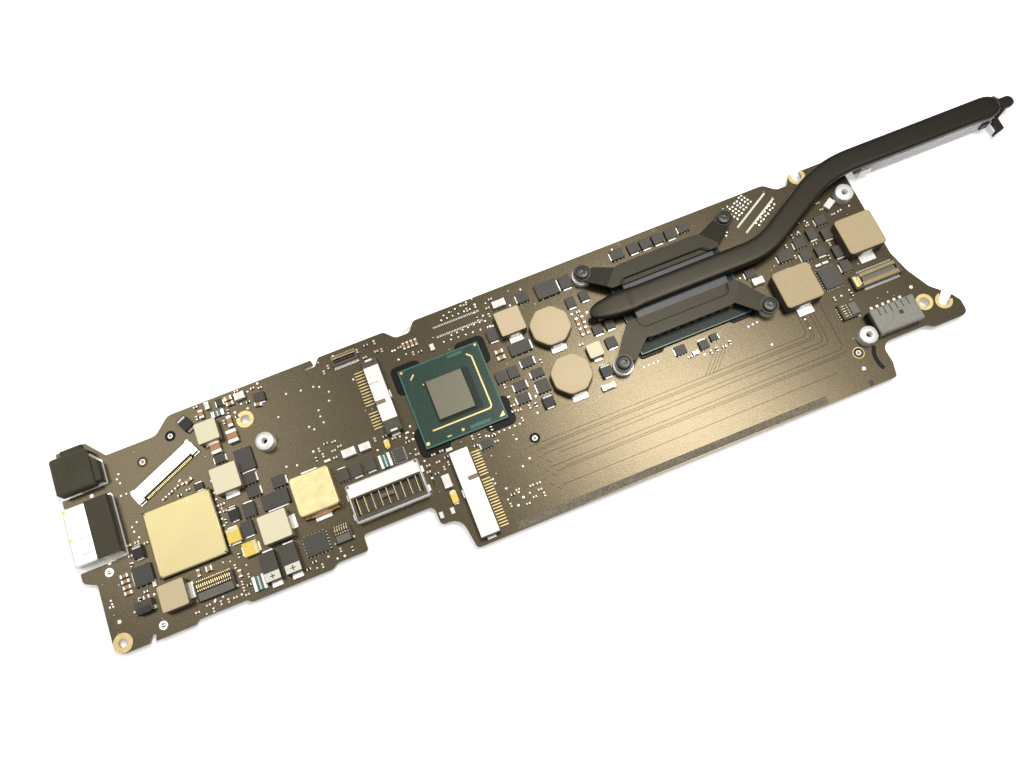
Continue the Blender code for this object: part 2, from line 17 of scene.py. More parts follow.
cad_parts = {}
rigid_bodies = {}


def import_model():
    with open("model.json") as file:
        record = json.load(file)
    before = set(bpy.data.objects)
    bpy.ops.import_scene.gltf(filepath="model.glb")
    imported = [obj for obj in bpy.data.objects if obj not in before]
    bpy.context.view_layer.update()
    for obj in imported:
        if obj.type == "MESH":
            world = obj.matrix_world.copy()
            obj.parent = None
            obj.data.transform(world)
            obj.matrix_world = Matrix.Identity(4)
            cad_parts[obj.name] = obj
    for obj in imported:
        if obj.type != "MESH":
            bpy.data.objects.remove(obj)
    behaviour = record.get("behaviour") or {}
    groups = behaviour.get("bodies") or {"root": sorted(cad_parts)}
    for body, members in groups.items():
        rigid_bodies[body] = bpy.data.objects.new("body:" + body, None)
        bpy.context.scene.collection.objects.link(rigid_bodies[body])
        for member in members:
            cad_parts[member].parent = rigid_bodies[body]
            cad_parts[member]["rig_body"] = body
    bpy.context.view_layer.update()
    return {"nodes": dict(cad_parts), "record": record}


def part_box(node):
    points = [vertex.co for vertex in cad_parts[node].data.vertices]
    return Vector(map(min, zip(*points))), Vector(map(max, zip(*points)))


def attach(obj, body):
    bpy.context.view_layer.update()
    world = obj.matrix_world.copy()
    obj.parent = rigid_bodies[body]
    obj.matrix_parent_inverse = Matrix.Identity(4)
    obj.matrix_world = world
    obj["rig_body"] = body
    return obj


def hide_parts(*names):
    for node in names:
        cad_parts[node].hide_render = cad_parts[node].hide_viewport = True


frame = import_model()

MM = 0.001
SEED = 7
PAD_RISE = 0.05
CHIPSET_SHIFT = 0.3
SLOT_OF = {part["node"]: part["material_slot"] for part in frame["record"]["subparts"]}


def layout_origin():
    """The chipset's centre, on the board's top face, which the plated pads stand above."""
    low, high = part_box("chipset_package")
    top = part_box("circuit_board")[1].z - PAD_RISE * MM
    return Vector(((low.x + high.x) / 2, (low.y + high.y) / 2 + CHIPSET_SHIFT * MM, top))


ORIGIN = layout_origin()


def span(node):
    """The node's X, Y and Z ranges in layout millimetres."""
    low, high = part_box(node)
    low, high = (low - ORIGIN) / MM, (high - ORIGIN) / MM
    return (low.x, high.x), (low.y, high.y), (low.z, high.z)


def middle(pair):
    return (pair[0] + pair[1]) / 2


def around(centre, size):
    return (centre - size / 2, centre + size / 2)


def inset(pair, amount):
    return (pair[0] + amount, pair[1] - amount)


# --- materials ------------------------------------------------------------------------------------

EVEN = (1.0, 1.0, 1.0)
MASK_TINT = (1.0, 0.84, 0.58)
BROAD_SCALE = 110.0


def add_node(tree, kind, **inputs):
    """A shader node whose inputs are set to values, or linked to sockets."""
    node = tree.nodes.new("ShaderNode" + kind)
    for name, value in inputs.items():
        socket = node.inputs[name.replace("_", " ")]
        if isinstance(value, bpy.types.NodeSocket):
            tree.links.new(value, socket)
        else:
            socket.default_value = value
    return node


def add_noise(tree, coords, scale, detail, stretch=EVEN):
    mapping = add_node(tree, "Mapping", Vector=coords, Scale=stretch)
    noise = add_node(tree, "TexNoise", Vector=mapping.outputs["Vector"], Scale=scale, Detail=detail)
    return noise.outputs["Fac"]


def add_range(tree, noise, low, high):
    """The middle stretch of a noise, spread between two values."""
    spread = add_node(tree, "MapRange", Value=noise, From_Min=0.3, From_Max=0.7, To_Min=low, To_Max=high)
    return spread.outputs["Result"]


def add_mix(tree, factor, first, second):
    """A colour mix whose two sides are colours or sockets."""
    mix = add_node(tree, "Mix")
    mix.data_type = "RGBA"
    tree.links.new(factor, mix.inputs["Factor"])
    for name, value in (("A", first), ("B", second)):
        socket = [s for s in mix.inputs if s.name == name and s.type == "RGBA"][0]
        if isinstance(value, tuple):
            socket.default_value = (*value, 1.0)
        else:
            tree.links.new(value, socket)
    return [s for s in mix.outputs if s.type == "RGBA"][0]


def level_mask(tree):
    """1 where the surface faces up or down, and 0 where it turns to the side."""
    split = add_node(tree, "SeparateXYZ", Vector=add_node(tree, "TexCoord").outputs["Normal"])
    upright = add_node(tree, "Math", Value=split.outputs["Z"])
    upright.operation = "ABSOLUTE"
    level = add_node(tree, "Math", Value=upright.outputs[0])
    level.operation = "GREATER_THAN"
    level.inputs[1].default_value = 0.5
    return level.outputs[0]


def surface(name, dark, light, roughness, metallic=0.0, scale=900.0, stretch=EVEN, bump=0.15, patches=None,
            cells=0.0, specular=0.5, tint=EVEN, side=None):
    """A finish with grain between two colours, broad patches, uneven gloss, a fine bump, and painted shade on
    the side faces in the side colour.
    """
    material = bpy.data.materials.new(name)
    material.use_nodes = True
    tree = material.node_tree
    shader = tree.nodes["Principled BSDF"].inputs
    shader["Metallic"].default_value = metallic
    shader["Specular IOR Level"].default_value = specular
    shader["Specular Tint"].default_value = (*tint, 1.0)
    coords = add_node(tree, "TexCoord").outputs["Object"]
    grain = add_noise(tree, coords, scale, 6.0, stretch)
    colour = add_mix(tree, add_range(tree, grain, 0.0, 1.0), dark, light)
    if patches:
        broad = add_noise(tree, coords, BROAD_SCALE, 3.0)
        colour = add_mix(tree, add_range(tree, broad, 0.0, 0.8), colour, patches)
    # painted shade: faces that turn to the side take the darker side colour
    if side:
        colour = add_mix(tree, level_mask(tree), side, colour)
    tree.links.new(colour, shader["Base Color"])
    fine = add_noise(tree, coords, scale * 3.5, 4.0, stretch)
    tree.links.new(add_range(tree, fine, *roughness), shader["Roughness"])
    height, depth = fine, 0.05
    if cells:
        height = add_node(tree, "TexVoronoi", Vector=coords, Scale=cells).outputs["Distance"]
        depth = 0.3
    relief = add_node(tree, "Bump", Strength=bump, Distance=depth * MM, Height=height)
    tree.links.new(relief.outputs["Normal"], shader["Normal"])
    return material


def board_finish():
    """Dark solder mask on the faces, and bare tan laminate where the surface turns to the side."""
    mask = surface("solder_mask", (0.019, 0.0155, 0.008), (0.027, 0.022, 0.011), (0.23, 0.30), scale=1400.0,
                   bump=0.3, patches=(0.028, 0.023, 0.012), specular=0.9, tint=MASK_TINT)
    tree = mask.node_tree
    base = tree.nodes["Principled BSDF"].inputs["Base Color"]
    colour = base.links[0].from_socket
    coords = add_node(tree, "TexCoord").outputs["Object"]
    weave = add_node(tree, "TexWave", Vector=coords, Scale=900.0, Distortion=4.0)
    weave.bands_direction = "Z"
    edge = add_mix(tree, weave.outputs["Fac"], (0.09, 0.075, 0.045), (0.19, 0.165, 0.11))
    tree.links.new(add_mix(tree, level_mask(tree), edge, colour), base)
    return mask


MASK = board_finish()
RAISED_MASK = surface("raised_mask", (0.034, 0.028, 0.015), (0.044, 0.036, 0.020), (0.23, 0.30), scale=1400.0,
                      specular=0.95, tint=MASK_TINT)
SUNK_MASK = surface("sunk_mask", (0.010, 0.008, 0.005), (0.014, 0.011, 0.007), (0.25, 0.33), scale=1400.0,
                    specular=0.4, tint=MASK_TINT)
STEEL = surface("tinned_steel", (0.84, 0.83, 0.80), (0.95, 0.94, 0.92), (0.18, 0.32), metallic=0.45,
                scale=700.0, stretch=(1.0, 8.0, 1.0), bump=0.06)
SOLDER_TIN = surface("solder_tin", (0.76, 0.75, 0.71), (0.95, 0.94, 0.91), (0.18, 0.35), metallic=0.55,
                     scale=2500.0, bump=0.3)
GOLD = surface("gold_plate", (0.72, 0.55, 0.24), (0.95, 0.78, 0.42), (0.18, 0.34), metallic=1.0,
               scale=2200.0, bump=0.12)
PALE_GOLD = surface("pale_gold_pad", (0.55, 0.43, 0.19), (0.68, 0.55, 0.27), (0.3, 0.45), metallic=0.7,
                    scale=1800.0, bump=0.2)
# side: painted shade on the lid's side faces
LID_METAL = surface("nickel_silver", (0.54, 0.48, 0.24), (0.60, 0.54, 0.28), (0.34, 0.46), metallic=0.7,
                    scale=2600.0, bump=0.35, patches=(0.57, 0.47, 0.26), side=(0.12, 0.095, 0.05))
BLACK_PLASTIC = surface("black_plastic", (0.012, 0.012, 0.011), (0.026, 0.025, 0.022), (0.4, 0.55),
                        scale=1800.0)
BROWN_PLASTIC = surface("brown_plastic", (0.045, 0.037, 0.024), (0.075, 0.062, 0.042), (0.42, 0.56),
                        scale=1600.0)
GREY_PLASTIC = surface("grey_plastic", (0.10, 0.098, 0.085), (0.145, 0.14, 0.12), (0.4, 0.55), scale=1600.0)
PALE_GREY = surface("pale_grey_plastic", (0.19, 0.185, 0.16), (0.26, 0.255, 0.225), (0.4, 0.55), scale=1600.0)
WHITE_PLASTIC = surface("white_plastic", (0.72, 0.71, 0.66), (0.84, 0.83, 0.78), (0.4, 0.55), scale=1500.0)
# side: painted shade on the packages' side faces
MOULD = surface("mould_compound", (0.034, 0.032, 0.026), (0.060, 0.057, 0.046), (0.42, 0.58), scale=3800.0,
                bump=0.4, side=(0.006, 0.006, 0.005))
# side: painted shade on the inductors' side faces
TAN_FERRITE = surface("tan_ferrite", (0.40, 0.315, 0.18), (0.49, 0.39, 0.23), (0.5, 0.65), scale=2600.0,
                      bump=0.5, patches=(0.44, 0.35, 0.205), side=(0.07, 0.055, 0.032))
# side: painted shade on the inductors' side faces
PALE_TAN = surface("pale_tan_ferrite", (0.53, 0.43, 0.265), (0.64, 0.53, 0.345), (0.45, 0.6), scale=2600.0,
                   bump=0.5, patches=(0.58, 0.48, 0.30), side=(0.14, 0.11, 0.065))
# side: painted shade on the bead's side faces
PALE_FERRITE = surface("pale_ferrite", (0.70, 0.65, 0.45), (0.82, 0.77, 0.58), (0.45, 0.6), scale=2600.0,
                       bump=0.5, patches=(0.76, 0.71, 0.51), side=(0.30, 0.26, 0.17))
# side: painted shade on the wrapped inductor's side faces
FOIL = surface("gold_foil", (0.60, 0.54, 0.26), (0.72, 0.66, 0.34), (0.3, 0.45), metallic=0.6,
               scale=420.0, bump=0.3, patches=(0.68, 0.57, 0.33), cells=330.0, side=(0.36, 0.29, 0.13))
SUBSTRATE = surface("green_substrate", (0.006, 0.034, 0.022), (0.011, 0.048, 0.032), (0.22, 0.32),
                    scale=1200.0, bump=0.12, patches=(0.010, 0.046, 0.032), specular=0.4)
SILICON = surface("ground_silicon", (0.135, 0.133, 0.095), (0.165, 0.162, 0.116), (0.3, 0.4), metallic=0.35,
                  scale=1500.0, stretch=(1.0, 6.0, 1.0), bump=0.06)
COATED = surface("black_coated_metal", (0.005, 0.0045, 0.003), (0.011, 0.010, 0.007), (0.31, 0.42),
                 scale=2200.0, bump=0.5, patches=(0.009, 0.008, 0.0055), specular=0.36, tint=(1.0, 0.93, 0.76))
ALUMINIUM = surface("bare_aluminium", (0.86, 0.86, 0.87), (0.95, 0.95, 0.96), (0.3, 0.45), metallic=0.35,
                    scale=900.0, stretch=(1.0, 1.0, 9.0))
FOAM = surface("conductive_fabric", (0.03, 0.027, 0.016), (0.068, 0.061, 0.037), (0.75, 0.95),
               scale=3200.0, bump=1.0, patches=(0.07, 0.066, 0.045))
TAPE = surface("brown_tape", (0.034, 0.027, 0.012), (0.046, 0.037, 0.017), (0.4, 0.52), scale=1500.0,
               bump=0.2, patches=(0.040, 0.032, 0.014), specular=0.35)
EPOXY = surface("black_epoxy", (0.003, 0.003, 0.003), (0.006, 0.006, 0.005), (0.3, 0.45), scale=700.0,
                bump=0.5, specular=0.15)
INK = surface("white_ink", (0.62, 0.62, 0.55), (0.80, 0.80, 0.72), (0.5, 0.65), scale=3000.0)
TAN_INK = surface("tan_ink", (0.17, 0.14, 0.085), (0.23, 0.19, 0.12), (0.5, 0.65), scale=3000.0)
BROWN_CERAMIC = surface("brown_ceramic", (0.34, 0.17, 0.07), (0.48, 0.26, 0.12), (0.4, 0.55), scale=2400.0)
YELLOW_CASE = surface("yellow_case", (0.74, 0.54, 0.08), (0.88, 0.68, 0.14), (0.4, 0.55), scale=2400.0)
BLACK_GLAZE = surface("black_glaze", (0.010, 0.010, 0.010), (0.022, 0.022, 0.021), (0.3, 0.42), scale=2400.0,
                      specular=0.25)
BLUE_GLAZE = surface("blue_glaze", (0.02, 0.11, 0.10), (0.04, 0.17, 0.15), (0.2, 0.34), scale=2400.0)
# lighter green, used for the painted highlight along the package rims
EDGE_GREEN = surface("bright_green_edge", (0.028, 0.12, 0.095), (0.05, 0.17, 0.135), (0.2, 0.32), scale=1400.0)
DARK_GREEN = surface("dark_green_substrate", (0.014, 0.022, 0.017), (0.022, 0.034, 0.026), (0.36, 0.5),
                     scale=1400.0, specular=0.2)
COPPER = surface("lacquered_copper", (0.55, 0.30, 0.12), (0.72, 0.44, 0.20), (0.25, 0.4), metallic=1.0,
                 scale=1600.0)
DARK_COAT = surface("dark_coated_screw", (0.018, 0.017, 0.014), (0.034, 0.032, 0.026), (0.26, 0.4),
                    scale=2600.0)
BLUED_COAT = surface("blued_plate", (0.020, 0.024, 0.034), (0.045, 0.052, 0.070), (0.3, 0.46), scale=1500.0,
                     patches=(0.022, 0.022, 0.026))
GASKET = surface("worn_gasket", (0.09, 0.077, 0.055), (0.24, 0.21, 0.155), (0.6, 0.85), scale=2200.0,
                 bump=1.0)

FINISH = {
    "board_mask": MASK, "steel": STEEL, "lid_metal": LID_METAL, "black_plastic": BLACK_PLASTIC,
    "grey_plastic": GREY_PLASTIC, "mould_compound": MOULD, "tan_ferrite": TAN_FERRITE,
    "pale_ferrite": PALE_FERRITE, "gold_foil": FOIL, "green_substrate": SUBSTRATE, "silicon": SILICON,
    "black_coated_metal": COATED, "bare_aluminium": ALUMINIUM, "black_foam": FOAM}


# --- making pieces --------------------------------------------------------------------------------

def put_in_scene(name, mesh, body, bevel, segments, replaced, sharp):
    """Adds the object with rounded edges, smooth shading, its body and the nodes it replaces."""
    obj = bpy.data.objects.new(name, mesh)
    bpy.context.scene.collection.objects.link(obj)
    mesh.shade_smooth()
    mesh.set_sharp_from_angle(angle=math.radians(sharp))
    if bevel:
        rounding = obj.modifiers.new("edges", "BEVEL")
        rounding.width = bevel * MM
        rounding.segments = segments
        rounding.limit_method = "ANGLE"
        rounding.angle_limit = math.radians(40.0)
        obj.modifiers.new("even_normals", "WEIGHTED_NORMAL").keep_sharp = True
    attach(obj, body)
    if replaced:
        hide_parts(*replaced)
    return obj


def refine(node, bevel, segments=2, material=None, sharp=40.0):
    """The CAD node's own shape with softened edges and a finish, in place of the node."""
    source = frame["nodes"][node]
    mesh = bpy.data.meshes.new("fine_" + node)
    shape = bmesh.new()
    shape.from_mesh(source.data)
    bmesh.ops.remove_doubles(shape, verts=shape.verts, dist=0.002 * MM)
    bmesh.ops.dissolve_limit(shape, angle_limit=math.radians(0.5), verts=shape.verts, edges=shape.edges)
    bmesh.ops.recalc_face_normals(shape, faces=shape.faces)
    for face in shape.faces:
        face.material_index = 0
    shape.to_mesh(mesh)
    shape.free()
    mesh.materials.append(material or FINISH[SLOT_OF[node]])
    return put_in_scene("fine_" + node, mesh, source["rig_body"], bevel, segments, [node], sharp)


def circle(centre, radius, count=24, start=0.0):
    turns = [start + 2 * math.pi * index / count for index in range(count)]
    return [(centre[0] + radius * math.cos(t), centre[1] + radius * math.sin(t)) for t in turns]


def arc(centre, radius, first, last, count=8):
    """Points from one angle to another, in degrees."""
    turns = [math.radians(first + (last - first) * step / count) for step in range(count + 1)]
    return [(centre[0] + radius * math.cos(t), centre[1] + radius * math.sin(t)) for t in turns]


def rectangle(x, y, radius=0.0, steps=4):
    """A rectangle's outline, anticlockwise, with corners of the given radius."""
    if not radius:
        return [(x[0], y[0]), (x[1], y[0]), (x[1], y[1]), (x[0], y[1])]
    (x0, x1), (y0, y1) = inset(x, radius), inset(y, radius)
    return (arc((x1, y0), radius, -90, 0, steps) + arc((x1, y1), radius, 0, 90, steps)
            + arc((x0, y1), radius, 90, 180, steps) + arc((x0, y0), radius, 180, 270, steps))


def offset_path(path, distance):
    """The path moved sideways, with mitred bends."""
    moved = []
    for index, point in enumerate(path):
        here = Vector(point)
        before = (here - Vector(path[index - 1])).normalized() if index else None
        after = (Vector(path[index + 1]) - here).normalized() if index + 1 < len(path) else None
        before, after = before or after, after or before
        along = (before + after).normalized()
        reach = distance / max(0.3, along.dot(after))
        moved.append((here.x - along.y * reach, here.y + along.x * reach))
    return moved


class Piece:
    """Shapes in layout millimetres that become one object. move_to places the shapes that follow it."""

    def __init__(self, name, *materials):
        self.name = name
        self.materials = materials
        self.points, self.faces, self.paint = [], [], []
        self.place = Matrix.Identity(4)

    def move_to(self, x=0.0, y=0.0, z=0.0, turn=0.0):
        self.place = Matrix.Translation((x, y, z)) @ Matrix.Rotation(math.radians(turn), 4, "Z")
        return self

    def add(self, points, faces, paint=0):
        first = len(self.points)
        self.points += [ORIGIN + (self.place @ Vector(point)) * MM for point in points]
        self.faces += [[first + index for index in face] for face in faces]
        self.paint += [paint] * len(faces)

    def box(self, x, y, z, paint=0):
        points = [(a, b, c) for c in z for b in y for a in x]
        faces = [(0, 2, 3, 1), (4, 5, 7, 6), (0, 1, 5, 4), (2, 6, 7, 3), (0, 4, 6, 2), (1, 3, 7, 5)]
        self.add(points, faces, paint)

    def block(self, x, y, width, depth, z, paint=0):
        """A box about (x, y)."""
        self.box(around(x, width), around(y, depth), z, paint)

    def plate(self, outline, z, holes=(), paint=0):
        """A flat shape between two heights, with holes right through it."""
        loops = [outline, *holes]
        flat = [point for loop in loops for point in loop]
        count = len(flat)
        points = [(x, y, height) for height in z for x, y in flat]
        faces, start = [], 0
        for loop in loops:
            ring = [start + index for index in range(len(loop))]
            faces += [(a, b, b + count, a + count) for a, b in zip(ring, ring[1:] + ring[:1])]
            start += len(loop)
        if holes:
            caps = tessellate_polygon([[Vector((x, y, 0.0)) for x, y in loop] for loop in loops])
        else:
            caps = [tuple(range(count))]
        faces += [tuple(reversed(cap)) for cap in caps]
        faces += [tuple(index + count for index in cap) for cap in caps]
        self.add(points, faces, paint)

    def loft(self, sections, paint=0, closed=False):
        """A skin over loops of points that all have the same number, capped unless it is closed."""
        count = len(sections[0])
        points = [point for section in sections for point in section]
        faces = []
        total = len(sections)
        for row in range(total if closed else total - 1):
            a, b = row * count, (row + 1) % total * count
            faces += [(a + i, a + (i + 1) % count, b + (i + 1) % count, b + i) for i in range(count)]
        if not closed:
            faces += [tuple(range(count))[::-1], tuple(range(len(points) - count, len(points)))]
        self.add(points, faces, paint)

    def turned(self, profile, centre=(0.0, 0.0), paint=0, count=24, closed=False):
        """A turned shape from (radius, height) points, either capped at both ends or a closed ring."""
        rings = [[(x, y, height) for x, y in circle(centre, radius, count)] for radius, height in profile]
        self.loft(rings, paint, closed)

    def ring(self, centre, outer, inner, z, paint=0, count=24):
        profile = [(inner, z[0]), (outer, z[0]), (outer, z[1]), (inner, z[1])]
        self.turned(profile, centre, paint, count, closed=True)

    def ribbon(self, path, width, z, paint=0):
        """A flat strip along a path of points."""
        left, right = offset_path(path, width / 2), offset_path(path, -width / 2)
        sections = [[(*b, z[0]), (*a, z[0]), (*a, z[1]), (*b, z[1])] for a, b in zip(left, right)]
        self.loft(sections, paint)

    def done(self, slot, body="board", bevel=0.0, segments=1, replaced=(), sharp=35.0):
        mesh = bpy.data.meshes.new(self.name)
        mesh.from_pydata(self.points, [], self.faces)
        for material in self.materials:
            mesh.materials.append(material)
        mesh.polygons.foreach_set("material_index", self.paint)
        shape = bmesh.new()
        shape.from_mesh(mesh)
        bmesh.ops.recalc_face_normals(shape, faces=shape.faces)
        shape.to_mesh(mesh)
        shape.free()
        return put_in_scene(self.name, mesh, body, bevel, segments, replaced, sharp)


# --- stage ----------------------------------------------------------------------------------------

def build_stage():
    reach = 30.0
    corners = rectangle((-reach, reach), (-reach, reach))
    floor = bpy.data.meshes.new("floor")
    floor.from_pydata([(x, y, 0.0) for x, y in corners], [], [(0, 1, 2, 3)])
    paper = surface("floor_paper", (0.94, 0.94, 0.94), (0.95, 0.95, 0.95), (0.8, 0.9), scale=90.0, bump=0.0,
                    specular=0.0)
    glow = paper.node_tree.nodes["Principled BSDF"].inputs
    glow["Emission Color"].default_value = (1.0, 1.0, 1.0, 1.0)
    glow["Emission Strength"].default_value = 0.35
    floor.materials.append(paper)
    ground = bpy.data.objects.new("floor", floor)
    ground.location.z = -0.02 * MM
    bpy.context.scene.collection.objects.link(ground)

    world = bpy.data.worlds.new("studio")
    world.use_nodes = True
    tree = world.node_tree
    split = add_node(tree, "SeparateXYZ", Vector=add_node(tree, "TexCoord").outputs["Generated"])
    overhead = add_node(tree, "MapRange", Value=split.outputs["Z"], From_Min=0.15, To_Min=0.05, To_Max=0.72)
    sky = tree.nodes["Background"].inputs
    sky["Color"].default_value = (1.0, 1.0, 1.0, 1.0)
    tree.links.new(overhead.outputs["Result"], sky["Strength"])
    bpy.context.scene.world = world
    bpy.context.scene.view_settings.view_transform = "Standard"


def add_lamp(name, place, aim, size, power, colour):
    """A rectangular area light at place, aimed at a point, both in layout millimetres."""
    data = bpy.data.lights.new(name, "AREA")
    data.shape = "RECTANGLE"
    data.size, data.size_y = size[0] * MM, size[1] * MM
    data.energy = power
    data.color = colour
    lamp = bpy.data.objects.new(name, data)
    lamp.location = ORIGIN + Vector(place) * MM
    direction = Vector(aim) - Vector(place)
    lamp.rotation_euler = direction.to_track_quat("-Z", "Y").to_euler()
    bpy.context.scene.collection.objects.link(lamp)


def build_lights_and_camera():
    add_lamp("soft_key", (172.0, 46.0, 500.0), (40.0, -10.0, 0.0), (230.0, 110.0), 1.8, (1.0, 0.95, 0.86))
    add_lamp("soft_fill", (-240.0, 200.0, 500.0), (-60.0, 10.0, 0.0), (220.0, 220.0), 0.6, (1.0, 0.96, 0.88))

    data = bpy.data.cameras.new("camera")
    data.lens = 32.114
    data.sensor_width = 36.0
    data.clip_start = 0.001
    camera = bpy.data.objects.new("camera", data)
    camera.location = ORIGIN + Vector((-2.32, -69.79, 222.17)) * MM
    camera.rotation_euler = [math.radians(turn) for turn in (17.07, 2.235, -21.90)]
    bpy.context.scene.collection.objects.link(camera)
    bpy.context.scene.camera = camera


# --- board ----------------------------------------------------------------------------------------

SCREW_HOLES = ((-94.5, -27.5, 1.1, 2.4), (-51.2, 14.2, 1.2, 2.25), (121.2, -23.5, 1.3, 2.25))
OPEN_HOLES = ((126.0, -25.0, 1.35, 2.25, 45.0), (107.9, 21.6, 1.3, 2.35, 90.0))
TOOLING_HOLES = ((15.1, -18.5, 0.55), (99.3, -29.3, 0.55), (-78.7, 13.5, 0.6), (-70.3, 17.3, 0.5))
SPRING_PADS = ((-93.4, -10.1), (-84.3, -27.2))
DISPLAY_SOCKET, DISPLAY_TURN = (-73.9, 8.5), 24.5
SLANT = Vector((math.cos(math.radians(30.0)), math.sin(math.radians(30.0))))


def build_board():
    refine("circuit_board", 0.06, 1, MASK)

    rings = Piece("plated_rings", PALE_GOLD, SOLDER_TIN)
    for x, y, hole, rim in SCREW_HOLES:
        rings.ring((x, y), rim, hole + 0.12, (0.03, 0.1), count=40)
        rings.ring((x, y), hole + 0.12, hole - 0.03, (-1.0, 0.13), count=40)
    for x, y, hole, rim, mouth in OPEN_HOLES:
        start, end = mouth + 52.0, mouth + 308.0
        outline = arc((x, y), rim, start, end, 30) + arc((x, y), hole, end, start, 30)
        rings.plate(outline, (0.0, 0.09))
    rings.ring(TOOLING_HOLES[1][:2], 1.5, 1.32, (0.0, 0.03), 0, 32)
    for x, y in SPRING_PADS:
        rings.ring((x, y), 1.1, 0.5, (0.0, 0.12), 1)
        rings.box((x - 0.2, x + 0.9), (y - 0.15, y + 0.15), (0.0, 0.3), 1)
    for x, y, hole in TOOLING_HOLES:
        rings.ring((x, y), hole + 0.12, hole - 0.06, (-1.0, 0.03), 1, 20)
    rings.done("steel", bevel=0.03)

    clear = Piece("mask_openings", SUNK_MASK, GASKET, BLACK_PLASTIC, EPOXY)
    for paint, (x, y, hole) in zip((3, 0, 0, 3), TOOLING_HOLES):
        clear.ring((x, y), 1.4, hole + 0.14, (0.0, 0.02), paint, 32)
    clear.box((3.0, 86.5), (-38.2, -36.3), (0.0, 0.12), 1)
    clear.ribbon(arc((108.5, -32.6), 5.9, 143, 208, 12), 1.1, (0.0, 0.02), 3)
    clear.box((97.9, 99.1), (-38.3, -36.9), (0.0, 0.03), 2)
    clear.done("board_mask", bevel=0.01)


def build_traces():
    """Copper runs under the mask: raised lines, and the dark gaps beside them."""
    lines = Piece("mask_over_traces", RAISED_MASK, SUNK_MASK)
    raised, sunk = (0.0, 0.022), (0.0, 0.012)
    first_run, pitch, runs = -20.3, 0.52, 26
    for step in range(runs):
        y = first_run - pitch * step
        start, end = 9.0 + 1.3 * (step * 5 % 7), 97.0 - 2.5 * (step % 3)
        tail = [(end, y)]
        if step < 14:
            corner = 90.0 + pitch * step
            tail = [(corner - 1.0, y), (corner, y + 1.0), (corner, -14.0)]
        lines.ribbon([(start - 1.5, y + 1.5), (start, y), *tail], 0.2, raised)
        if step in (0, 2, 3, 6, 8, 13, 15, 16, 23):
            lines.ribbon(offset_path([(start + 4.0, y), *tail], pitch / 2), 0.16, sunk, 1)
    for step in range(4):
        shift = 1.1 * step
        lines.ribbon([(61.0 + shift, -20.2), (66.0 + shift, -15.2), (66.0 + shift, -14.0)], 0.14, sunk, 1)
        lines.ribbon([(15.0 + shift, -15.5), (21.5 + shift, -20.1)], 0.16, raised)
        lines.ribbon([(-6.0 + shift, 20.6), (-3.4 + shift, 21.9)], 0.16, raised)
    lines.ribbon([(20.0, -15.6), (33.0, -15.6), (35.4, -14.6)], 0.3, raised)
    lines.ribbon([(101.0, -14.6), (103.0, -12.6)], 0.25, raised)
    for step in range(4):
        lines.ribbon([(-14.0, -21.0 - 0.6 * step), (-12.4, -19.4 - 0.5 * step), (-12.0, -15.5)], 0.18, raised)
    lines.done("board_mask")

    art = Piece("bare_copper_marks", INK, TAN_INK, SOLDER_TIN)
    for x, y in ((86.7, 14.1), (88.2, 11.8)):
        end = Vector((x, y)) + SLANT * 12.8
        art.ribbon([(x, y), (end.x, end.y)], 0.55, (0.0, 0.03))
    art.move_to(*DISPLAY_SOCKET, turn=DISPLAY_TURN)
    art.box((-9.2, 8.6), (3.1, 3.9), (0.0, 0.015), 1)
    art.move_to()
    for x, y in ((55.9, 21.9), (66.0, 22.0)):
        art.ring((x, y), 0.5, 0.25, (0.0, 0.02), 1)
    art.done("board_mask")


def via(piece, x, y, radius=0.22, paint=0):
    piece.turned([(radius * 0.4, 0.05), (radius, 0.03), (radius, 0.0)], (x, y), paint, 8)


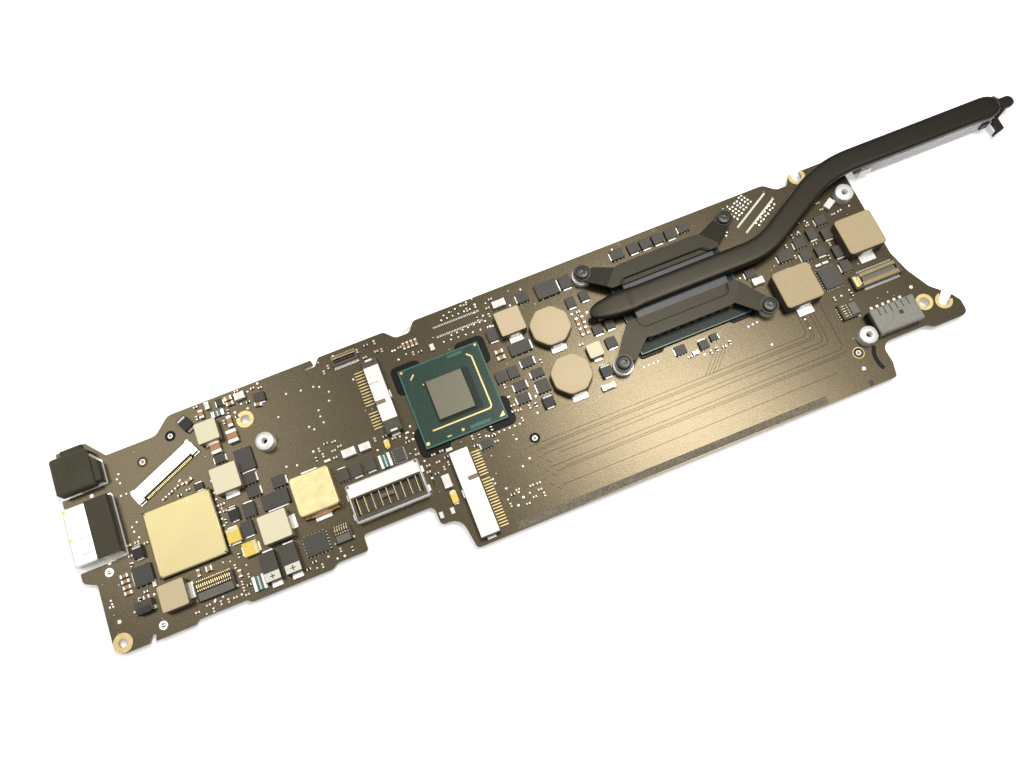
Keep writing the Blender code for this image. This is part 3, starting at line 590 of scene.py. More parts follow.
def build_vias():
    """Plated holes and test points, in the rows and clusters that the board carries."""
    dots = Piece("vias_and_test_points", SOLDER_TIN, GOLD)
    for y in (18.8, 16.0):
        for step in range(30):
            dots.block(1.9 + step * 0.43, y, 0.17, 0.5, (0.0, 0.03))
    rows = ((4.5, 20.1, 7, 1.6, 0.0), (5.5, 21.1, 6, 1.7, 0.3), (3.0, 14.2, 7, 2.0, -0.1),
            (5.5, 15.2, 6, 1.6, 0.1), (4.6, -13.6, 7, 1.4, 0.0), (13.2, -6.0, 2, 0.4, -2.5),
            (47.9, -11.9, 4, 1.3, 0.0), (77.0, -12.2, 3, 1.3, 0.1), (-63.3, -5.5, 1, 0.0, 0.0),
            (91.2, -16.0, 2, 0.0, -2.6), (107.6, -13.9, 12, 1.0, 0.0))
    for x, y, count, across, up in rows:
        for step in range(count):
            via(dots, x + across * step, y + up * step)
    for x, y in ((-94.1, -22.4), (-92.9, -7.9), (120.2, -18.5), (-92.9, 10.0), (98.6, -33.5)):
        via(dots, x, y, 0.5)
    singles = (
        (-85.2, 12.8), (-85.9, 11.7), (-85.4, 10.4), (-86, 7.2), (-84.6, 7.2), (-84, -0.7), (-85.4, -1.5),
        (-85.2, -2.8), (-84.4, -4.6), (-85, -5.8), (-87.6, -10), (-94.8, -16.8), (-94.7, -17.7),
        (-95.4, -18.3), (-94.6, -18.4), (-90.1, -21.6), (-71, -26.2), (-69.1, -26.2), (-64.7, -27.4),
        (-39.4, 16.6), (-35.6, 16), (-32.3, 15.7), (-30.9, 15.1), (-29, 12.9), (-29.7, 10.6), (-33, 9.2),
        (-33.1, 7.5), (-32.8, 5.7), (-36.6, 6), (-35.6, 4.9), (-43.1, 11.5), (-45.1, -1.6), (-42.5, -2.3),
        (-13.8, 21.5), (-10.2, 17), (-9.5, 17), (-9.5, 14.2), (-22.1, 13.6), (-13.9, -4.9), (-14.7, -6.1),
        (10.7, -17), (11.9, -22.8), (9.6, -24), (3.7, -27.6), (6.2, -29.6), (1.5, -24.2), (1.6, -25.4),
        (26.8, 20.1), (16.4, 13.4), (22.6, 17), (53.5, 21.3), (87, 20.8), (80.3, -18.9), (104.3, 8.3),
        (114.1, 8.2), (116.7, 8.4), (100.8, 6.8), (83.6, 14), (83, 13.2))
    for x, y in singles:
        via(dots, x, y, 0.26)
    for x, y, columns in ((87.9, 16.5, 7), (92.4, 12.6, 8)):
        for column in range(columns):
            for row in range(4 if y > 14 else 2):
                spot = Vector((x, y)) + SLANT * 1.05 * column + Vector((-SLANT.y, SLANT.x)) * row
                via(dots, spot.x, spot.y + 0.25 * (column % 2), 0.3)
    dots.done("steel")


# --- ports ----------------------------------------------------------------------------------------

def build_usb_port():
    refine("usb_shell", 0.1)
    refine("usb_tongue", 0.08)
    x, y, z = span("usb_shell")
    front, back, top = x[0], x[1], z[1]
    film = Piece("usb_port_tape", TAPE)
    film_x = (front + 5.7, back)
    film.box(film_x, inset(y, 0.05), (top, top + 0.07))
    film.box((back, back + 0.06), inset(y, 0.05), (-0.6, top + 0.07))
    film.done("black_foam", bevel=0.03)

    frame_bar = Piece("usb_port_frame", STEEL)
    frame_bar.box((back + 0.1, back + 0.45), (y[0] - 0.5, y[1] + 0.8), (-0.8, 0.3))
    frame_bar.box((back - 2.9, back + 0.45), (y[1] + 0.3, y[1] + 0.8), (-0.8, 0.3))
    frame_bar.box((back - 3.1, back + 0.45), (y[0] - 0.6, y[0] - 0.2), (-0.8, 0.3))
    frame_bar.done("steel", bevel=0.08)

    slots = Piece("usb_port_spring_slots", BLACK_PLASTIC, PALE_GOLD)
    slot_z = (top - 0.05, top + 0.015)
    for shift in (1.2, 7.0, 8.6, 12.6):
        slots.box((front + 2.4, front + 4.4), around(y[1] - shift, 0.16), slot_z)
    for shift in (1.6, 7.8):
        slots.box(around(front + 4.3, 0.16), (y[1] - shift - 0.4, y[1] - shift + 0.4), slot_z)
    for shift in (1.0, 8.2):
        slots.box((front, front + 0.9), around(y[1] - shift, 0.9), (top - 0.05, top + 0.02), 1)
    for step in range(4):
        slots.box((front + 1.2, front + 6.0), around(middle(y) + 2.4 * (step - 1.5), 1.1), (0.44, 0.5), 1)
    slots.done("steel")


def build_video_port():
    refine("video_port_shell", 0.1)
    refine("video_port_tongue", 0.08)
    refine("video_port_foam", 0.35, 3)
    x, y, z = span("video_port_shell")
    top, back = z[1], x[1]
    wrap = Piece("video_port_tape", TAPE)
    corner = 3.0
    lid = [(back - 2.9, y[0]), (back, y[0]), (back, y[1] - corner - 0.3), (back - 2.9, y[1])]
    wrap.plate(lid, (top, top + 0.06))
    wrap.ribbon([(back - 3.0, y[0] - 0.03), (back + 0.03, y[0] - 0.03), (back + 0.03, y[1] - corner - 0.3),
                 (back - 3.0, y[1] + 0.03)], 0.06, (-0.5, top + 0.06))
    wrap.done("black_foam", bevel=0.02)

    flange = Piece("video_port_frame", STEEL)
    low, high = y[0] - 0.55, y[1] + 1.2
    flange.ribbon([(-95.2, high), (-92.2, high), (back + 0.2, y[1] - corner + 0.1), (back + 0.2, low),
                   (-95.0, low)], 0.34, (-0.7, 0.3))
    flange.box((-94.0, back - 0.6), (low + 0.3, low + 0.42), (-0.2, 0.5))
    flange.done("steel", bevel=0.06)
    seam = Piece("foam_seams", TAPE, FOAM)
    foam_x, foam_y, foam_z = span("video_port_foam")
    seam.box((foam_x[0] + 1.2, foam_x[0] + 1.35), inset(foam_y, 0.5), (foam_z[1] - 0.02, foam_z[1] + 0.04))
    seam.box((foam_x[0] + 2.0, x[1] - 3.6), (22.55, 23.9), (0.0, 0.5), 1)
    seam.done("black_foam")


# --- sockets --------------------------------------------------------------------------------------

def build_display_socket():
    refine("display_socket_body", 0.06)
    refine("display_socket_cover", 0.12)
    local = Piece("display_socket_contacts", GOLD, STEEL, BLACK_PLASTIC)
    local.move_to(*DISPLAY_SOCKET, turn=DISPLAY_TURN)
    count, pitch = 38, 0.38
    for step in range(count):
        u = (step - (count - 1) / 2) * pitch
        local.box(around(u, 0.17), (-2.2, -1.2), (0.1, 0.5))
    for hand in (-1, 1):
        low, high = sorted((hand * 7.75, hand * 9.6))
        local.box((low, high), (-1.8, 1.2), (0.1, 1.0), 1)
        local.box((low, high), (-2.3, -1.8), (0.05, 0.35), 1)
        local.box(around(hand * 8.9, 0.9), (1.9, 2.7), (0.0, 0.3), 1)
        local.box(around(hand * 8.1, 0.5), (-0.9, -0.2), (1.0, 1.28), 1)
    local.box((-7.7, 7.7), (-1.2, -0.6), (0.2, 1.15), 1)
    top = span("display_socket_cover")[2][1]
    local.box((-7.4, 7.4), (-0.55, -0.4), (top - 0.1, top + 0.012), 2)
    local.box((-7.6, 7.6), (-1.45, -1.2), (0.52, 0.7), 2)
    local.done("steel", bevel=0.03)


def build_flip_socket(prefix, centre, turn, width, depth, contacts):
    refine(prefix + "_housing", 0.06, material=BROWN_PLASTIC)
    refine(prefix + "_latch", 0.05, material=GREY_PLASTIC)
    top = span(prefix + "_housing")[2][1]
    pins = Piece(prefix + "_contacts", GOLD, STEEL, BLACK_PLASTIC).move_to(*centre, turn=turn)
    pitch = (width - 1.6) / (contacts - 1)
    pins.box(inset((-width / 2, width / 2), 0.35), (0.35, 1.9), (top - 0.02, top + 0.01), 2)
    for step in range(contacts):
        u = (step - (contacts - 1) / 2) * pitch
        pins.box(around(u, 0.2), (0.9, 1.75), (top, top + 0.05))
        pins.box(around(u, 0.2), (0.1, 0.5), (top, top + 0.04))
        pins.box(around(u, 0.22), (depth / 2, depth / 2 + 0.5), (0.0, 0.2))
    for hand in (-1, 1):
        edge = hand * (width / 2 + 0.05)
        pins.box(around(edge, 0.5), (-depth / 2 + 0.1, -depth / 2 + 0.7), (0.0, 0.45), 1)
    pins.done("steel", bevel=0.02)


def build_battery_socket():
    refine("battery_socket_shell", 0.08)
    refine("battery_socket_body", 0.06, material=BROWN_PLASTIC)
    x, y, z = span("battery_socket_shell")
    top = z[1]
    blades = Piece("battery_socket_contacts", GOLD, GREY_PLASTIC, BLACK_PLASTIC, STEEL)
    for step in range(9):
        at = -31.3 + 1.92 * step
        blades.box(around(at, 0.2), (-20.6, -16.3), (0.7, 1.9))
        blades.box(around(at + 0.8, 0.12), (-20.6, -16.3), (0.7, 0.95), 2)
    blades.box((-25.6, -22.0), (-18.6, -17.6), (0.7, 1.7), 1)
    blades.box((-24.9, -22.7), (-18.5, -18.3), (1.7, 1.75), 2)
    for at in (x[0] + 0.75, x[1] - 0.75):
        blades.turned([(0.32, top + 0.02), (0.32, top - 0.02)], (at, y[1] - 0.7), 2, 16)
    blades.box((x[0] + 0.3, x[0] + 3.1), (y[1], y[1] + 0.45), (0.0, 0.4), 3)
    blades.box((x[1] - 3.1, x[1] - 0.3), (y[1], y[1] + 0.45), (0.0, 0.4), 3)
    for at in (x[0] - 0.25, x[1] + 0.25):
        for shift in (1.4, 6.5):
            blades.box(around(at, 0.5), (y[0] + shift, y[0] + shift + 1.6), (0.0, 0.5), 3)
    blades.done("steel", bevel=0.03)


def build_card_socket(prefix, contacts_x, groups, key_y, mouth):
    """Card-edge socket: its contact tails, key slot, end tabs and the seam lines of its cover."""
    refine(prefix + "_body", 0.1, material=BROWN_PLASTIC)
    refine(prefix + "_cover", 0.07)
    x, y, z = span(prefix + "_cover")
    body_x, body_y, _ = span(prefix + "_body")
    top = z[1]
    tails = Piece(prefix + "_contacts", PALE_GOLD, STEEL, BROWN_PLASTIC, BLACK_PLASTIC, TAN_INK)
    for first, count, pitch in groups:
        for step in range(count):
            tails.box(contacts_x, around(first + pitch * step, 0.32), (0.05, 0.32))
        tails.box(around(middle(contacts_x), 0.25), (first, first + pitch * (count - 1)), (0.0, 0.12), 2)
    slot_x = (x[0] - 0.02, x[0] + 2.6) if mouth < 0 else (x[1] - 2.6, x[1] + 0.02)
    tails.box(slot_x, around(key_y, 1.1), (top - 0.05, top + 0.02), 4)
    tails.box(slot_x, around(key_y + (5.4 if mouth < 0 else 9.0), 0.16), (top - 0.05, top + 0.012), 3)
    for end in (body_y[0] + 0.5, body_y[1] - 0.5):
        tails.block(middle(body_x), end, 1.8, 0.5, (2.25, 2.33), 1)
        tails.block(middle(body_x) - 1.0 * mouth, end + (0.1 if end < 0 else -0.6), 0.7, 0.6,
                  (2.22, 2.27), 3)
    tails.box(around(body_x[1] if mouth < 0 else body_x[0], 0.7),
              around(middle(y) - (1.0 if mouth < 0 else -0.5), 2.0), (0.0, 1.9), 1)
    tails.box(around(middle(body_x), 2.2), (body_y[0] - 0.6, body_y[0]), (0.0, 0.5), 1)
    tails.done("steel", bevel=0.04)


def build_io_sockets():
    refine("io_data_socket", 0.06, material=BROWN_PLASTIC)
    refine("io_power_socket", 0.12, material=PALE_GREY)
    x, y, z = span("io_data_socket")
    pins = Piece("io_socket_contacts", GOLD, PALE_GOLD, GREY_PLASTIC, BLACK_PLASTIC, SOLDER_TIN, EPOXY)
    pins.box((x[0] + 0.4, x[0] + 1.4), inset(y, 0.6), (z[1] - 0.1, z[1] + 0.04))
    pins.box((x[0] + 1.5, x[0] + 2.0), inset(y, 0.9), (z[1] - 0.1, z[1] + 0.06))
    pins.box((x[0] + 2.8, x[1] - 1.4), (y[0] + 1.5, y[1] - 1.4), (0.6, 1.1), 2)
    for step in range(24):
        at = x[0] + 2.6 + 0.42 * step
        pins.box(around(at, 0.2), (y[0] - 0.75, y[0] + 0.2), (0.05, 0.3), 4)
        pins.box(around(at, 0.2), (y[1] - 0.2, y[1] + 0.6), (0.05, 0.3), 4)
        pins.box(around(at, 0.18), (y[0] + 0.35, y[0] + 1.5), (0.6, z[1] + 0.03), 1)
        pins.box(around(at, 0.18), (y[1] - 1.3, y[1] - 0.3), (z[1] - 0.1, z[1] + 0.03), 1)
    x, y, z = span("io_power_socket")
    for step in range(6):
        at = x[0] + 2.2 + 1.62 * step
        pins.box(around(at, 0.75), (y[1], y[1] + 1.2), (0.0, 0.5), 4)
        pins.box(around(at, 0.3), (y[1] - 2.4, y[1] - 0.3), (z[1] - 0.03, z[1] + 0.015), 3)
    pins.block(middle(x) + 1.2, middle(y) + 0.1, 1.1, 1.1, (z[1] - 0.05, z[1] + 0.02), 3)
    pins.box((x[0] - 0.55, x[0] + 0.1), inset(y, 0.35), (0.1, 2.6), 5)
    pins.box((x[1] - 0.1, x[1] + 0.5), inset(y, 2.4), (0.0, 1.4), 4)
    pins.done("steel", bevel=0.04)


def build_small_connectors():
    """Board-to-board connector by the far edge, and a three-pin connector at the port end."""
    both = Piece("small_connectors", BROWN_PLASTIC, GOLD, BLACK_PLASTIC, SOLDER_TIN)
    both.move_to(-22.4, 19.5)
    both.plate(rectangle((-3.5, 3.5), (-1.1, 1.5), 0.3), (0.05, 0.9),
               [rectangle((-2.9, 2.9), (-0.3, 0.7), 0.1, 1)[::-1]])
    both.box((-2.6, 2.6), (0.05, 0.35), (0.05, 0.8))
    for step in range(18):
        u = (step - 8.5) * 0.36
        both.box(around(u, 0.18), (0.95, 2.0), (0.05, 0.35), 1)
        both.box(around(u, 0.18), (-2.0, -1.1), (0.05, 0.35), 3)
        both.box(around(u, 0.16), (0.7, 1.2), (0.5, 0.95), 1)
    both.move_to(-87.0, -20.9)
    both.box((-2.3, 2.0), (-1.9, 1.0), (0.05, 1.6))
    both.box((-1.7, 1.4), (-2.2, -0.7), (0.3, 1.9), 2)
    for u in (-1.2, 0.0, 1.2):
        both.box(around(u, 0.35), (0.9, 2.1), (0.0, 0.4), 3)
    for u in (-2.4, 2.1):
        both.box(around(u, 0.5), (-1.8, -0.9), (0.0, 0.5), 3)
    both.done("black_plastic", bevel=0.05)


# --- chips ----------------------------------------------------------------------------------------

def build_shield_can():
    refine("shield_lid", 0.22, 3)
    refine("shield_fence", 0.03)
    refine("port_controller_chip", 0.08)
    x, y, z = span("shield_lid")
    details = Piece("shield_corner_slots", BLACK_PLASTIC, STEEL)
    for corner_x, hand_x in ((x[0], 1), (x[1], -1)):
        for corner_y, hand_y in ((y[0], 1), (y[1], -1)):
            details.ribbon([(corner_x + hand_x * 0.05, corner_y + hand_y * 0.05),
                            (corner_x + hand_x * 0.75, corner_y + hand_y * 0.75)], 0.3,
                           (z[1] - 0.35, z[1] + 0.015))
    for step in range(9):
        at = x[0] + 1.6 + 1.75 * step
        details.box(around(at, 0.7), (y[0] - 0.02, y[0] + 0.05), (0.35, 0.9))
        details.box((x[1] - 0.05, x[1] + 0.02), around(y[0] + 1.6 + 1.75 * step, 0.7), (0.35, 0.9))
        details.box((x[1] + 0.25, x[1] + 0.7), around(y[0] + 1.9 + 1.75 * step, 0.35), (0.0, 0.1), 1)
    details.done("lid_metal")


def build_chipset():
    refine("chipset_package", 0.08)
    refine("chipset_die", 0.05)
    x, y, z = span("chipset_package")
    die_x, die_y, _ = span("chipset_die")
    top = z[1]
    line = (top - 0.02, top + 0.02)
    art = Piece("chipset_markings", PALE_GOLD, EDGE_GREEN, DARK_GREEN)
    art.ribbon([(-7.9, -7.3), (7.2, -7.3), (7.9, -7.1), (8.2, -6.5), (8.2, 7.4), (7.1, 8.5)], 0.4, line)
    art.ribbon([(-8.5, 7.3), (-7.3, 8.5)], 0.4, line)
    for spot_x, spot_y, radius in ((-10.1, 10.0, 0.35), (10.1, 10.0, 0.35), (-10.1, -10.0, 0.5),
                                   (-0.7, -9.9, 0.38)):
        art.turned([(radius, line[1]), (radius, line[0])], (spot_x, spot_y), 0, 20)
    art.plate([(8.9, -10.4), (10.4, -10.4), (10.4, -9.0)], line)
    art.box((-5.0, -3.9), (-10.3, -10.0), line)
    # lighter green rim along the package edge: painted highlight
    rim_hole = rectangle(inset(x, 0.4), inset(y, 0.4))[::-1]
    art.plate(rectangle(inset(x, 0.05), inset(y, 0.05)), line, [rim_hole], 1)
    art.box((2.3, 6.3), (9.2, 9.9), line, 1)
    art.box((1.2, 6.6), (-10.5, -9.6), line, 1)
    art.plate(rectangle((die_x[0] - 0.45, die_x[1] + 1.9), (die_y[0] - 1.0, die_y[1] + 0.4), 0.9),
              (top - 0.02, top + 0.012), paint=2)
    art.plate(rectangle((die_x[0] - 0.2, die_x[1] + 0.3), (die_y[0] - 0.35, die_y[1] + 0.2), 0.3),
              (top, top + 0.28), paint=2)
    art.turned([(0.2, top + 0.3), (0.2, top)], (die_x[0] - 0.7, die_y[1] - 0.3), 0, 12)
    art.done("green_substrate")

    glue = Piece("corner_bonds", EPOXY)
    reach, spread = 1.75, 6.2
    for corner_x, hand_x in ((x[0], -1), (x[1], 1)):
        for corner_y, hand_y in ((y[0], -1), (y[1], 1)):
            side_x = sorted((corner_x + hand_x * reach, corner_x - hand_x * spread))
            side_y = sorted((corner_y + hand_y * reach, corner_y - hand_y * spread))
            glue.plate(rectangle(side_x, side_y, 1.6, 6), (0.0, 0.24))
    x, y, _ = span("processor_package")
    for side_x in ((x[0] - 0.6, x[0] + 6.2), (x[1] - 6.2, x[1] + 0.6)):
        for side_y in ((y[0] - 0.9, y[0] + 3.0), (y[1] - 3.0, y[1] + 0.9)):
            glue.plate(rectangle(side_x, side_y, 1.0, 6), (0.0, 0.24))
    glue.done("black_plastic", bevel=0.12, segments=3)

    balls = Piece("chipset_solder_balls", SOLDER_TIN)
    pitch, margin = 1.1, 0.8
    for package in ("chipset_package", "processor_package"):
        x, y, z = span(package)
        for column in range(int((x[1] - x[0]) / pitch)):
            for row in range(int((y[1] - y[0]) / pitch)):
                at = (x[0] + margin + pitch * column, y[0] + margin + pitch * row)
                rim = min(at[0] - x[0], x[1] - at[0], at[1] - y[0], y[1] - at[1])
                if rim < 1.6:
                    balls.turned([(0.14, z[0]), (0.27, z[0] - 0.1), (0.14, 0.0)], at, 0, 8)
    balls.done("steel")


def build_processor():
    # darker, browner green than the chipset: its own green plus painted shade from the bracket over it
    refine("processor_package", 0.08, material=DARK_GREEN)
    refine("processor_die", 0.05)
    x, y, z = span("processor_package")
    trim = Piece("processor_capacitors", BROWN_CERAMIC, SOLDER_TIN, EDGE_GREEN)
    # lighter green rim along the package edge: painted highlight
    trim.plate(rectangle(inset(x, 0.05), inset(y, 0.05)), (z[1] - 0.02, z[1] + 0.02),
               [rectangle(inset(x, 0.3), inset(y, 0.3))[::-1]], 2)
    for step in range(10):
        trim.move_to(x[0] + 4.0 + 2.5 * step, y[0] + 3.4)
        chip(trim, 1.0, 0.5, 0.45, z[1])
    trim.done("green_substrate", bevel=0.03)


def build_memory_chips():
    """Memory on the underside, each with its mark dimple and its rows of solder balls."""
    balls = Piece("memory_solder_balls", SOLDER_TIN)
    for number in range(1, 5):
        node = f"memory_chip_{number}"
        refine(node, 0.06)
        x, y, z = span(node)
        for column in range(9):
            for row in range(13):
                at = (x[0] + 0.9 + 0.9 * column, y[0] + 0.9 + 0.95 * row)
                if column in (0, 1, 7, 8):
                    balls.turned([(0.12, -1.0), (0.2, -1.05), (0.12, z[1])], at, 0, 8)
    balls.done("steel")


# --- inductors ------------------------------------------------------------------------------------

def add_terminals(tabs, node, width, near, far, turned_side=False):
    """Tinned terminals at two opposite sides, reaching out by near and far."""
    x, y, z = span(node)
    if turned_side:
        tabs.box((x[0] - near, x[0] + 0.4), around(middle(y), width), (0.0, 0.4))
        tabs.box((x[1] - 0.4, x[1] + far), around(middle(y), width), (0.0, 0.4))
        return
    tabs.box(around(middle(x), width), (y[0] - near, y[0] + 0.4), (0.0, 0.4))
    tabs.box(around(middle(x), width * 0.7), (y[0] - 0.12, y[0] + 0.02), (0.3, z[1] * 0.62))
    tabs.box(around(middle(x), width), (y[1] - 0.4, y[1] + far), (0.0, 0.4))


def build_block(node, material):
    """Square moulded body with small corner radii, larger on the big ones."""
    x, y, z = span(node)
    large = x[1] - x[0] > 10.0
    block = Piece("fine_" + node, material or FINISH[SLOT_OF[node]])
    block.plate(rectangle(x, y, 1.0 if large else 0.45), z)
    block.done(SLOT_OF[node], bevel=0.35 if large else 0.2, segments=3, replaced=[node])


def build_core(node):
    """Eight-sided pressed core whose corners and top edge are rounded."""
    x, y, z = span(node)
    centre, flat, count = (middle(x), middle(y)), (x[1] - x[0]) / 2, 72
    core = Piece("fine_" + node, PALE_TAN)
    sections = []
    for share, height in ((0.95, z[0]), (1.0, z[0] + 0.3), (1.0, z[1] - 0.55), (0.985, z[1] - 0.25),
                          (0.955, z[1] - 0.07), (0.91, z[1])):
        loop = []
        for step in range(count):
            turn = 2 * math.pi * step / count
            off = (turn + math.pi / 8) % (math.pi / 4) - math.pi / 8
            reach = share * min(flat / math.cos(off), flat * 1.045)
            loop.append((centre[0] + reach * math.cos(turn), centre[1] + reach * math.sin(turn), height))
        sections.append(loop)
    core.loft(sections)
    core.done("tan_ferrite", replaced=[node], sharp=50.0)


def build_inductors():
    tabs = Piece("inductor_terminals", SOLDER_TIN)
    for node, width, near, far, turned_side in (
            ("inductor_port", 4.0, 0.5, 1.3, True), ("inductor_display", 3.6, 1.3, 0.3, False),
            ("inductor_backlight", 3.4, 0.6, 0.5, False), ("inductor_charger", 3.6, 0.4, 1.4, True),
            ("inductor_memory", 3.6, 1.7, 0.3, False), ("inductor_processor_1", 4.3, 2.2, 1.1, False),
            ("inductor_processor_2", 4.3, 2.2, 1.1, False), ("inductor_foil", 4.2, 1.7, 1.1, False)):
        build_block(node, PALE_TAN if node in ("inductor_port", "inductor_memory") else None)
        add_terminals(tabs, node, width, near, far, turned_side)
    for node in ("inductor_core_1", "inductor_core_2"):
        build_core(node)
        add_terminals(tabs, node, 4.1, 1.5, 0.5)
    tabs.done("steel", bevel=0.08)

    bead = Piece("inductor_small", PALE_FERRITE, SOLDER_TIN)
    bead.plate(rectangle(around(37.9, 3.9), around(-3.4, 3.9), 0.5), (0.1, 2.0))
    bead.box(around(37.9, 2.2), (-6.2, -5.2), (0.0, 0.3), 1)
    bead.done("pale_ferrite", bevel=0.2, segments=2)

    leads = Piece("inductor_foil_leads", COPPER)
    x, y, _ = span("inductor_foil")
    for at in (x[0] + 1.9, x[1] - 1.9):
        leads.box(around(at, 2.4), (y[0] - 0.5, y[0] + 0.1), (0.3, 1.1))
    leads.box(around(middle(x), 5.6), (y[0] - 0.7, y[0] + 0.1), (0.5, 1.3))
    leads.done("gold_foil", bevel=0.1)


# --- cooler and posts -----------------------------------------------------------------------------

PIPE_TIP_HALF, PIPE_TAIL_HALF = 3.2, 3.15
PIPE_HALF = 3.0
PIPE_BEND = math.radians(30.0)
PIPE_BEND_START = 84.0
PIPE_RADII = (20.0, 30.0)
PIPE_CLOSING = 161.5


def pipe_stations():
    """(x, y, half width, half height) along the pipe, from its pinched tip to its closed end."""
    x, y, z = span("heat_pipe")
    low, high = y[0] + PIPE_TIP_HALF, y[1] - PIPE_TAIL_HALF
    full = (z[1] - z[0]) / 2
    stations = []
    for step in range(15):
        turn = math.pi / 2 * step / 14
        half = 0.12 + (PIPE_TIP_HALF - 0.12) * math.sin(turn) ** 0.85
        stations.append((x[0] + 10.5 * (1 - math.cos(turn)), low + 0.3 * math.cos(turn), half,
                         full * (0.5 + 0.5 * math.sin(turn))))
    stations += [(51.3, low, PIPE_TIP_HALF, full * 0.93), (54.0, low, PIPE_HALF, full * 0.93),
                 (54.8, low, PIPE_HALF, full)]
    stations += [(at, low, PIPE_HALF, full) for at in (64.0, 74.0)]
    first, second = PIPE_RADII
    for step in range(13):
        turn = PIPE_BEND * step / 12
        stations.append((PIPE_BEND_START + first * math.sin(turn), low + first * (1 - math.cos(turn)),
                         PIPE_HALF, full))
    rise = high - low - (first + second) * (1 - math.cos(PIPE_BEND))
    bend_end = PIPE_BEND_START + (first + second) * math.sin(PIPE_BEND) + rise / math.tan(PIPE_BEND)
    for step in range(13):
        turn = PIPE_BEND * (1 - step / 12)
        stations.append((bend_end - second * math.sin(turn), high - second * (1 - math.cos(turn)),
                         PIPE_TAIL_HALF, full))
    stations += [(at, high, PIPE_TAIL_HALF, full) for at in (135.0, 150.0, PIPE_CLOSING)]
    for step in range(1, 7):
        turn = math.pi / 2 * step / 6
        stations.append((PIPE_CLOSING + (x[1] - PIPE_CLOSING) * math.sin(turn), high - 0.3 * step / 6,
                         0.6 + (PIPE_TAIL_HALF - 0.6) * math.cos(turn), full * (0.55 + 0.45 * math.cos(turn))))
    return stations


def build_heat_pipe():
    """A flattened round pipe: a superellipse carried along the centre line."""
    pipe = Piece("fine_heat_pipe", COATED)
    line = pipe_stations()
    level = middle(span("heat_pipe")[2])
    flat_power, side_power = 0.36, 0.62
    sections = []
    for index, (x, y, half, tall) in enumerate(line):
        before, after = Vector(line[max(index - 1, 0)][:2]), Vector(line[min(index + 1, len(line) - 1)][:2])
        along = (after - before).normalized()
        loop = []
        for step in range(32):
            turn = 2 * math.pi * (step + 0.5) / 32
            cos, sin = math.cos(turn), math.sin(turn)
            out = math.copysign(abs(cos) ** flat_power, cos) * half
            up = math.copysign(abs(sin) ** side_power, sin) * tall
            loop.append((x - along.y * out, y + along.x * out, level - (1.0 - tall) * 0.6 + up))
        sections.append(loop)
    pipe.loft(sections)
    pipe.done("black_coated_metal", replaced=["heat_pipe"], sharp=60.0)


def build_bracket(node, side):
    """Pressed spring bracket: a high beam with a low pan, and ramps down to the two screw lugs."""
    x, y, z = span(node)
    centre = middle(x)
    screw_y = middle(span("cooler_screw_1" if side < 0 else "cooler_screw_3")[1])
    screw_u = span("cooler_screw_2")[0][0] + 1.9 - centre
    inner = abs(screw_y - (y[1] if side < 0 else y[0]))
    outer = abs(screw_y - (-6.3 if side < 0 else 15.2))
    pan = 2.9 if side < 0 else 1.3
    low, lug_top, beam_top, pan_top = z[0], z[1], z[1] + 0.45, z[1] - 0.05

    def flat(points, hand=1):
        return [(centre + hand * u, screw_y - side * v) for u, v in points]

    part = Piece("fine_" + node, COATED, DARK_COAT, EPOXY)
    crease = [(15.9, inner - 1.0), (12.2, outer + 0.3)]
    foot = [(screw_u + 0.4, 2.5), (screw_u - 3.2, -0.4)]
    beam = [(12.6, inner), (12.0, inner - pan + 1.1), (10.9, inner - pan)]
    right = [(14.8, inner), *crease, (10.5, outer)]
    outline = flat(beam[::-1] + right) + flat(right[::-1] + beam, -1)
    part.plate(outline, (low, beam_top))
    part.plate(flat(beam) + flat(beam[::-1], -1), (low, pan_top))
    for hand in (-1, 1):
        corners = flat([foot[0], crease[0], crease[1], foot[1]], hand)
        tops = (lug_top, beam_top, beam_top, lug_top)
        part.loft([[(a, b, low) for a, b in corners], [(a, b, top) for (a, b), top in zip(corners, tops)]])
        lug = flat([foot[0], *arc((screw_u, 0.0), 2.35, 80.0, -172.0, 20), foot[1]], hand)
        part.plate(lug, (low, lug_top), [circle((centre + hand * screw_u, screw_y), 1.3, 20)[::-1]])
        part.ring((centre + hand * screw_u, screw_y), 2.25, 1.7, (lug_top - 0.1, lug_top + 0.05), 1, 32)
    # painted shade: a black line along the pressed groove round the pan
    groove_shade_line = [(12.8, inner - 0.2), (12.3, inner - pan + 0.8), (11.2, inner - pan - 0.15)]
    part.ribbon(flat(groove_shade_line) + flat(groove_shade_line[::-1], -1), 0.35, (beam_top - 0.1, beam_top + 0.01), 2)
    part.done("black_coated_metal", bevel=0.14, segments=2, replaced=[node])


